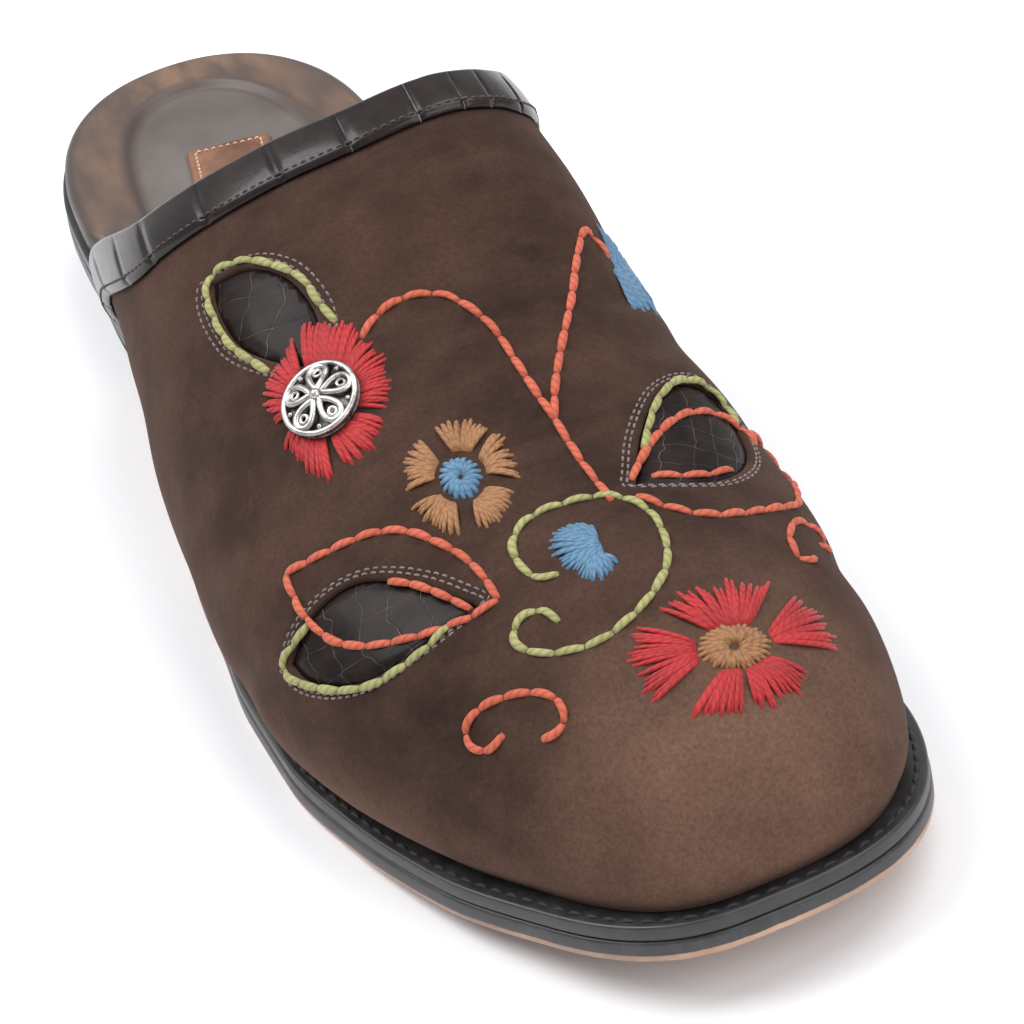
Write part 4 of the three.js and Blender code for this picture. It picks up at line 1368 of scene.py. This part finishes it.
class Look:
    """One procedural material, built node by node round its Principled shader."""

    def __init__(self, name, roughness, **fixed):
        self.material = bpy.data.materials.new(name)
        self.material.use_nodes = True
        self.tree = self.material.node_tree
        self.shader = self.tree.nodes["Principled BSDF"]
        self.shader.inputs["Roughness"].default_value = roughness
        for socket, value in fixed.items():
            self.shader.inputs[socket.replace("_", " ")].default_value = value

    def add(self, kind, inputs=None, **settings):
        node = self.tree.nodes.new(kind)
        for key, value in settings.items():
            setattr(node, key, value)
        for key, value in (inputs or {}).items():
            self.plug(value, node.inputs[key])
        return node

    def plug(self, value, socket):
        if isinstance(value, bpy.types.NodeSocket):
            self.tree.links.new(value, socket)
        else:
            socket.default_value = value

    def coords(self, stretch=(1, 1, 1), kind="Object"):
        place = self.add("ShaderNodeTexCoord").outputs[kind]
        return self.add("ShaderNodeMapping", {"Vector": place, "Scale": stretch}).outputs["Vector"]

    def noise(self, coords, scale, detail=3.0, roughness=0.5):
        inputs = {"Vector": coords, "Scale": scale, "Detail": detail, "Roughness": roughness}
        return self.add("ShaderNodeTexNoise", inputs).outputs["Fac"]

    def attribute(self, name):
        return self.add("ShaderNodeAttribute", attribute_name=name).outputs["Fac"]

    def ramp(self, value, low, high, to_low=0.0, to_high=1.0):
        inputs = {"Value": value, "From Min": low, "From Max": high, "To Min": to_low, "To Max": to_high}
        return self.add("ShaderNodeMapRange", inputs).outputs["Result"]

    def math(self, operation, a, b=0.0):
        node = self.add("ShaderNodeMath", operation=operation)
        self.plug(a, node.inputs[0])
        self.plug(b, node.inputs[1])
        return node.outputs[0]

    def times(self, a, b):
        return self.math("MULTIPLY", a, b)

    def plus(self, a, b):
        return self.math("ADD", a, b)

    def blend(self, factor, a, b):
        node = self.add("ShaderNodeMix", data_type="RGBA")
        self.plug(factor, node.inputs[0])
        self.plug(a, node.inputs[6])
        self.plug(b, node.inputs[7])
        return node.outputs[2]

    def tones(self, value, low, high, dark, light):
        """One colour up to low and the other from high on."""
        return self.blend(self.ramp(value, low, high), srgb(*dark), srgb(*light))

    def set(self, socket, value):
        self.plug(value, self.shader.inputs[socket])

    def bump(self, heights):
        """Stacked bumps: rows of height, strength and depth in millimetres."""
        normal = None
        for height, strength, depth in heights:
            inputs = {"Height": height, "Strength": strength, "Distance": depth * MM}
            if normal is not None:
                inputs["Normal"] = normal
            normal = self.add("ShaderNodeBump", inputs).outputs["Normal"]
        self.tree.links.new(normal, self.shader.inputs["Normal"])


def suede_look():
    look = Look("suede_brown", 0.95, Sheen_Weight=0.16, Sheen_Roughness=0.5,
                Sheen_Tint=srgb(190, 160, 145), Specular_IOR_Level=0.1)
    place = look.coords()
    patches = look.noise(place, 38, 4, 0.6)
    brushed = look.noise(look.coords((1, 0.45, 1)), 150, 5, 0.65)
    nap = look.noise(place, 1500, 3, 0.7)
    wear = look.attribute("wear")
    base = look.tones(patches, 0.34, 0.70, (44, 31, 26), (72, 52, 43))
    base = look.blend(look.ramp(brushed, 0.42, 0.74, 0, 0.5), base, srgb(84, 63, 53))
    worn = look.times(wear, look.ramp(patches, 0.30, 0.60, 0.45, 1.0))
    base = look.blend(look.times(worn, 0.8), base, srgb(118, 89, 74))
    base = look.blend(look.ramp(nap, 0.35, 0.7, 0, 0.4), base, srgb(32, 22, 18))
    look.set("Base Color", base)
    look.bump([(brushed, 0.35, 0.25), (nap, 0.8, 0.12), (look.noise(place, 3600, 2, 0.6), 0.6, 0.06)])
    return look.material


PLATE_LENGTH = 7.5    # plates of the embossed leather, in millimetres
PLATE_WIDTH = 5.2
PLATE_WARP = 7


def croc_look():
    """Dark glossy leather in long smooth plates, split by thin creases, with painted shade along them and a
    painted highlight down their middles.
    """
    look = Look("leather_croc_brown", 0.3, Specular_IOR_Level=0.2, Coat_Roughness=0.12)
    place = look.coords(kind="UV")
    warp = look.times(look.noise(place, 0.1, 2, 0.5), PLATE_WARP)
    turned = look.add("ShaderNodeMapping", {"Vector": place, "Rotation": (0, 0, 0.3)}).outputs["Vector"]
    parts = look.add("ShaderNodeSeparateXYZ", {"Vector": turned}).outputs
    along = look.math("PINGPONG", look.plus(parts["X"], warp), PLATE_LENGTH / 2)
    over = look.math("PINGPONG", look.math("SUBTRACT", parts["Y"], warp), PLATE_WIDTH / 2)
    split = look.math("MINIMUM", along, over)
    pinch = look.attribute("pinch")
    plain = look.math("SUBTRACT", 1.0, look.attribute("banded"))
    crease = look.math("MAXIMUM", look.times(look.ramp(split, 0.2, 0.02), plain), pinch)
    pores = look.noise(place, 5.5, 3, 0.6)
    worn = look.noise(place, 0.16, 3, 0.6)
    base = look.tones(worn, 0.35, 0.7, (20, 14, 13), (40, 29, 25))
    # Painted shade: the creases darkened towards near-black
    base = look.blend(look.times(look.ramp(crease, 0.1, 0.6), 0.8), base, srgb(13, 9, 8))
    # Painted highlight: a pale line down each crease's middle, patchy with the worn noise, weaker on the
    # leaf inlays than on the band
    light = look.times(look.ramp(crease, 0.8, 0.97), look.ramp(worn, 0.36, 0.56, 0.1, 0.7))
    light = look.times(light, look.ramp(plain, 0.0, 1.0, 1.0, 0.6))
    base = look.blend(light, base, srgb(150, 138, 130))
    look.set("Base Color", base)
    shine = look.times(plain, 0.14)
    look.set("Roughness", look.plus(look.ramp(pores, 0.3, 0.75, 0.22, 0.38), shine))
    look.set("Specular IOR Level", look.ramp(plain, 0.0, 1.0, 0.22, 0.1))
    look.set("Coat Weight", look.ramp(plain, 0.0, 1.0, 0.22, 0.06))
    look.bump([(look.ramp(crease, 0.0, 1.0, 1.0, 0.0), 0.3, 0.25), (worn, 0.3, 0.5), (pores, 0.12, 0.06)])
    return look.material


def footbed_look():
    look = Look("leather_insole", 0.42, Specular_IOR_Level=0.5)
    place = look.coords()
    inset = look.attribute("inset")
    grain = look.noise(place, 900, 3, 0.6)
    clouds = look.noise(place, 30, 4, 0.6)
    streaks = look.noise(look.coords((0.35, 1, 1)), 130, 4, 0.6)
    centre = look.tones(clouds, 0.35, 0.68, (76, 69, 64), (104, 97, 92))
    worn = look.times(look.ramp(streaks, 0.40, 0.62), look.ramp(clouds, 0.36, 0.62, 0.2, 0.8))
    rim = look.blend(worn, srgb(80, 66, 58), srgb(124, 96, 76))
    base = look.blend(look.ramp(inset, 9.6, 12.2), rim, centre)
    crease = look.times(look.ramp(inset, 9.4, 11.2), look.ramp(inset, 13.4, 11.8))
    base = look.blend(look.times(crease, 0.7), base, srgb(62, 42, 33))
    base = look.blend(look.ramp(inset, 3.4, 2.2, 0, 0.7), base, srgb(46, 40, 37))
    look.set("Base Color", base)
    look.set("Roughness", look.ramp(clouds, 0.3, 0.7, 0.34, 0.52))
    look.bump([(grain, 0.25, 0.08), (streaks, 0.15, 0.15)])
    return look.material


def edge_look(name, colour, lighter, tan_level=None):
    """Inked sole edge; a leather underside below tan_level."""
    look = Look(name, 0.38, Specular_IOR_Level=0.5)
    place = look.coords()
    scuffs = look.noise(place, 160, 4, 0.65)
    base = look.blend(look.ramp(scuffs, 0.45, 0.75, 0.0, 0.55), srgb(*colour), srgb(*lighter))
    if tan_level is not None:
        level = look.plus(look.attribute("level"), look.times(scuffs, -0.5))
        toe = look.ramp(look.attribute("station"), 0.55, 0.9, 0.0, 0.7)
        heel = look.ramp(look.attribute("station"), 0.27, 0.24, 0.0, -0.7)
        cut = look.plus(look.plus(toe, heel), tan_level)
        tan = look.tones(look.noise(place, 45, 4, 0.6), 0.3, 0.7, (206, 170, 146), (168, 128, 100))
        dirt = look.ramp(look.noise(place, 14, 5, 0.7), 0.5, 0.68, 0, 0.6)
        tan = look.blend(dirt, tan, srgb(92, 70, 58))
        base = look.blend(look.ramp(look.math("SUBTRACT", level, cut), -0.1, 0.1), tan, base)
    look.set("Base Color", base)
    look.set("Roughness", look.ramp(scuffs, 0.3, 0.75, 0.28, 0.5))
    look.bump([(scuffs, 0.2, 0.15), (look.noise(place, 1400, 2, 0.5), 0.15, 0.05)])
    return look.material


# Each yarn's light colour, and its dark one: painted shade in the grooves between the plies, also used for
# random darker patches
YARNS = named_rows(
    "name dark light",
    ("thread_orange", (140, 54, 34), (192, 92, 64)),
    ("thread_green", (104, 104, 58), (158, 156, 100)),
    ("thread_red", (112, 14, 18), (176, 32, 34)),
    ("thread_tan", (104, 68, 38), (154, 108, 68)),
    ("thread_blue", (48, 80, 106), (88, 126, 154)),
    ("thread_topstitch", (66, 55, 54), (126, 112, 110)),
    ("thread_binding", (34, 27, 25), (74, 62, 58)),
    ("thread_sole", (20, 18, 18), (40, 37, 36)),
    ("thread_patch", (150, 116, 86), (214, 180, 144)),
)


def thread_look(name, dark, light):
    """Soft yarn of two plies, with painted shade in the grooves of their twist; its UV runs in millimetres
    along it and from 0 to 1 round it.
    """
    look = Look(name, 0.7, Sheen_Weight=0.08, Sheen_Roughness=0.4)
    twisted = look.coords((0.7, 2, 1), kind="UV")
    wave = {"Vector": twisted, "Scale": math.pi / 5, "Distortion": 0.5, "Detail": 1.0}
    ply = look.add("ShaderNodeTexWave", wave, bands_direction="DIAGONAL").outputs["Fac"]
    fuzz = look.noise(look.coords(), 1800, 3, 0.6)
    shade = look.noise(look.coords(), 220, 2, 0.5)
    # Painted shade and light: the plies' twist, darker in its grooves and lighter on its crowns
    base = look.blend(look.ramp(ply, 0.0, 0.6, 0.45, 1.0), srgb(*dark), srgb(*light))
    base = look.blend(look.ramp(shade, 0.4, 0.75, 0, 0.4), base, srgb(*dark))
    look.set("Base Color", base)
    look.bump([(ply, 0.2, 0.12), (fuzz, 0.5, 0.08)])
    return look.material


def plain_look(name, roughness, mottle, span, dark, light, grain, rough=None, swell=None, **fixed):
    """Mottled leather, rubber or metal: mottle is its noise, and grain a noise's scale with its bump."""
    look = Look(name, roughness, **fixed)
    place = look.coords()
    clouds = look.noise(place, *mottle)
    look.set("Base Color", look.tones(clouds, *span, dark, light))
    if rough:
        look.set("Roughness", look.ramp(clouds, 0.3, 0.7, *rough))
    scale, strength, depth = grain
    look.bump([(look.noise(place, scale, 3, 0.6), strength, depth)] + ([(clouds, *swell)] if swell else []))
    return look.material


def silver_look(name, bright, dark, roughness):
    """Cast silver, dark where it isn't rubbed."""
    return plain_look(name, roughness, (420, 4, 0.65), (0.42, 0.66), bright, dark, (1600, 0.3, 0.05),
                      rough=(roughness, roughness + 0.2), Metallic=1.0)


def make_materials():
    materials = {
        "suede": suede_look(),
        "croc": croc_look(),
        "lining": plain_look("leather_lining", 0.6, (60, 3, 0.5), (0.35, 0.65), (66, 50, 42), (84, 64, 53),
                             (700, 0.3, 0.08), Specular_IOR_Level=0.3),
        "footbed": footbed_look(),
        "outsole": edge_look("leather_outsole", (44, 43, 44), (82, 80, 82), tan_level=0.35),
        "midsole": edge_look("leather_midsole", (38, 37, 38), (70, 68, 70)),
        "heel": edge_look("leather_heel", (34, 31, 30), (60, 56, 54)),
        "rubber": plain_look("rubber_black", 0.7, (90, 4, 0.65), (0.45, 0.75), (24, 23, 23), (62, 59, 56),
                             (800, 0.4, 0.1)),
        "patch": plain_look("leather_patch", 0.5, (120, 4, 0.6), (0.35, 0.68), (92, 60, 45), (138, 98, 74),
                            (1100, 0.3, 0.08), rough=(0.42, 0.6), swell=(0.15, 0.1),
                            Specular_IOR_Level=0.45),
        "silver": silver_look("silver_worn", (206, 204, 200), (120, 117, 112), 0.26),
        "dark_silver": silver_look("silver_dark", (118, 112, 108), (48, 44, 43), 0.42),
    }
    for yarn in YARNS:
        materials[yarn["name"]] = thread_look(**yarn)
    return materials


# Stage and camera
FLOOR_REACH = 6.0    # metres
FLOOR_COLOUR = (0.86, 0.86, 0.87, 1)
SKY = {"colour": (0.93, 0.95, 1.0, 1), "strength": 0.55}
LIGHTS = named_rows(
    "name place size power",
    ("key", (-0.35, -0.55, 0.95), 0.9, 11.5),
    ("fill", (0.85, 0.45, 0.75), 1.0, 6.0),
    ("top", (-0.1, 0.5, 1.1), 1.0, 7.0),
)


def make_stage():
    look = Look("floor_white", 0.85)
    look.set("Base Color", FLOOR_COLOUR)
    mesh = bpy.data.meshes.new("floor")
    corners = [(x * FLOOR_REACH, y * FLOOR_REACH, 0) for x, y in ((-1, -1), (1, -1), (1, 1), (-1, 1))]
    mesh.from_pydata(corners, [], [(0, 1, 2, 3)])
    mesh.materials.append(look.material)
    floor = bpy.data.objects.new("floor", mesh)
    bpy.context.scene.collection.objects.link(floor)
    world = bpy.data.worlds.new("studio")
    world.use_nodes = True
    background = world.node_tree.nodes["Background"]
    background.inputs["Color"].default_value = SKY["colour"]
    background.inputs["Strength"].default_value = SKY["strength"]
    bpy.context.scene.world = world
    bpy.context.scene.view_settings.view_transform = "Standard"
    for light in LIGHTS:
        add_light(**light)


def add_light(name, place, size, power):
    light = bpy.data.lights.new(name, "AREA")
    light.shape = "DISK"
    light.size = size
    light.energy = power
    lamp = bpy.data.objects.new(name, light)
    lamp.location = place
    lamp.rotation_mode = "QUATERNION"
    lamp.rotation_quaternion = (-Vector(place)).to_track_quat("-Z", "Y")
    bpy.context.scene.collection.objects.link(lamp)


def make_camera():
    """The photograph's own viewpoint, turned to the one shoe and closed in on it."""
    forward = pixel_ray(SHOE_CENTRE_PX)
    right = unit(RIGHT - forward * (RIGHT @ forward))
    up = np.cross(right, forward)
    data = bpy.data.cameras.new("camera")
    data.sensor_width = 36
    data.lens = PHOTO["focal_px"] / PHOTO["width_px"] * data.sensor_width * FRAME_ZOOM
    data.clip_start = 0.01
    camera = bpy.data.objects.new("camera", data)
    turn = Matrix((right, up, -forward)).transposed()
    camera.matrix_world = Matrix.Translation(Vector(to_row(EYE))) @ turn.to_4x4()
    bpy.context.scene.collection.objects.link(camera)
    bpy.context.scene.camera = camera


main()
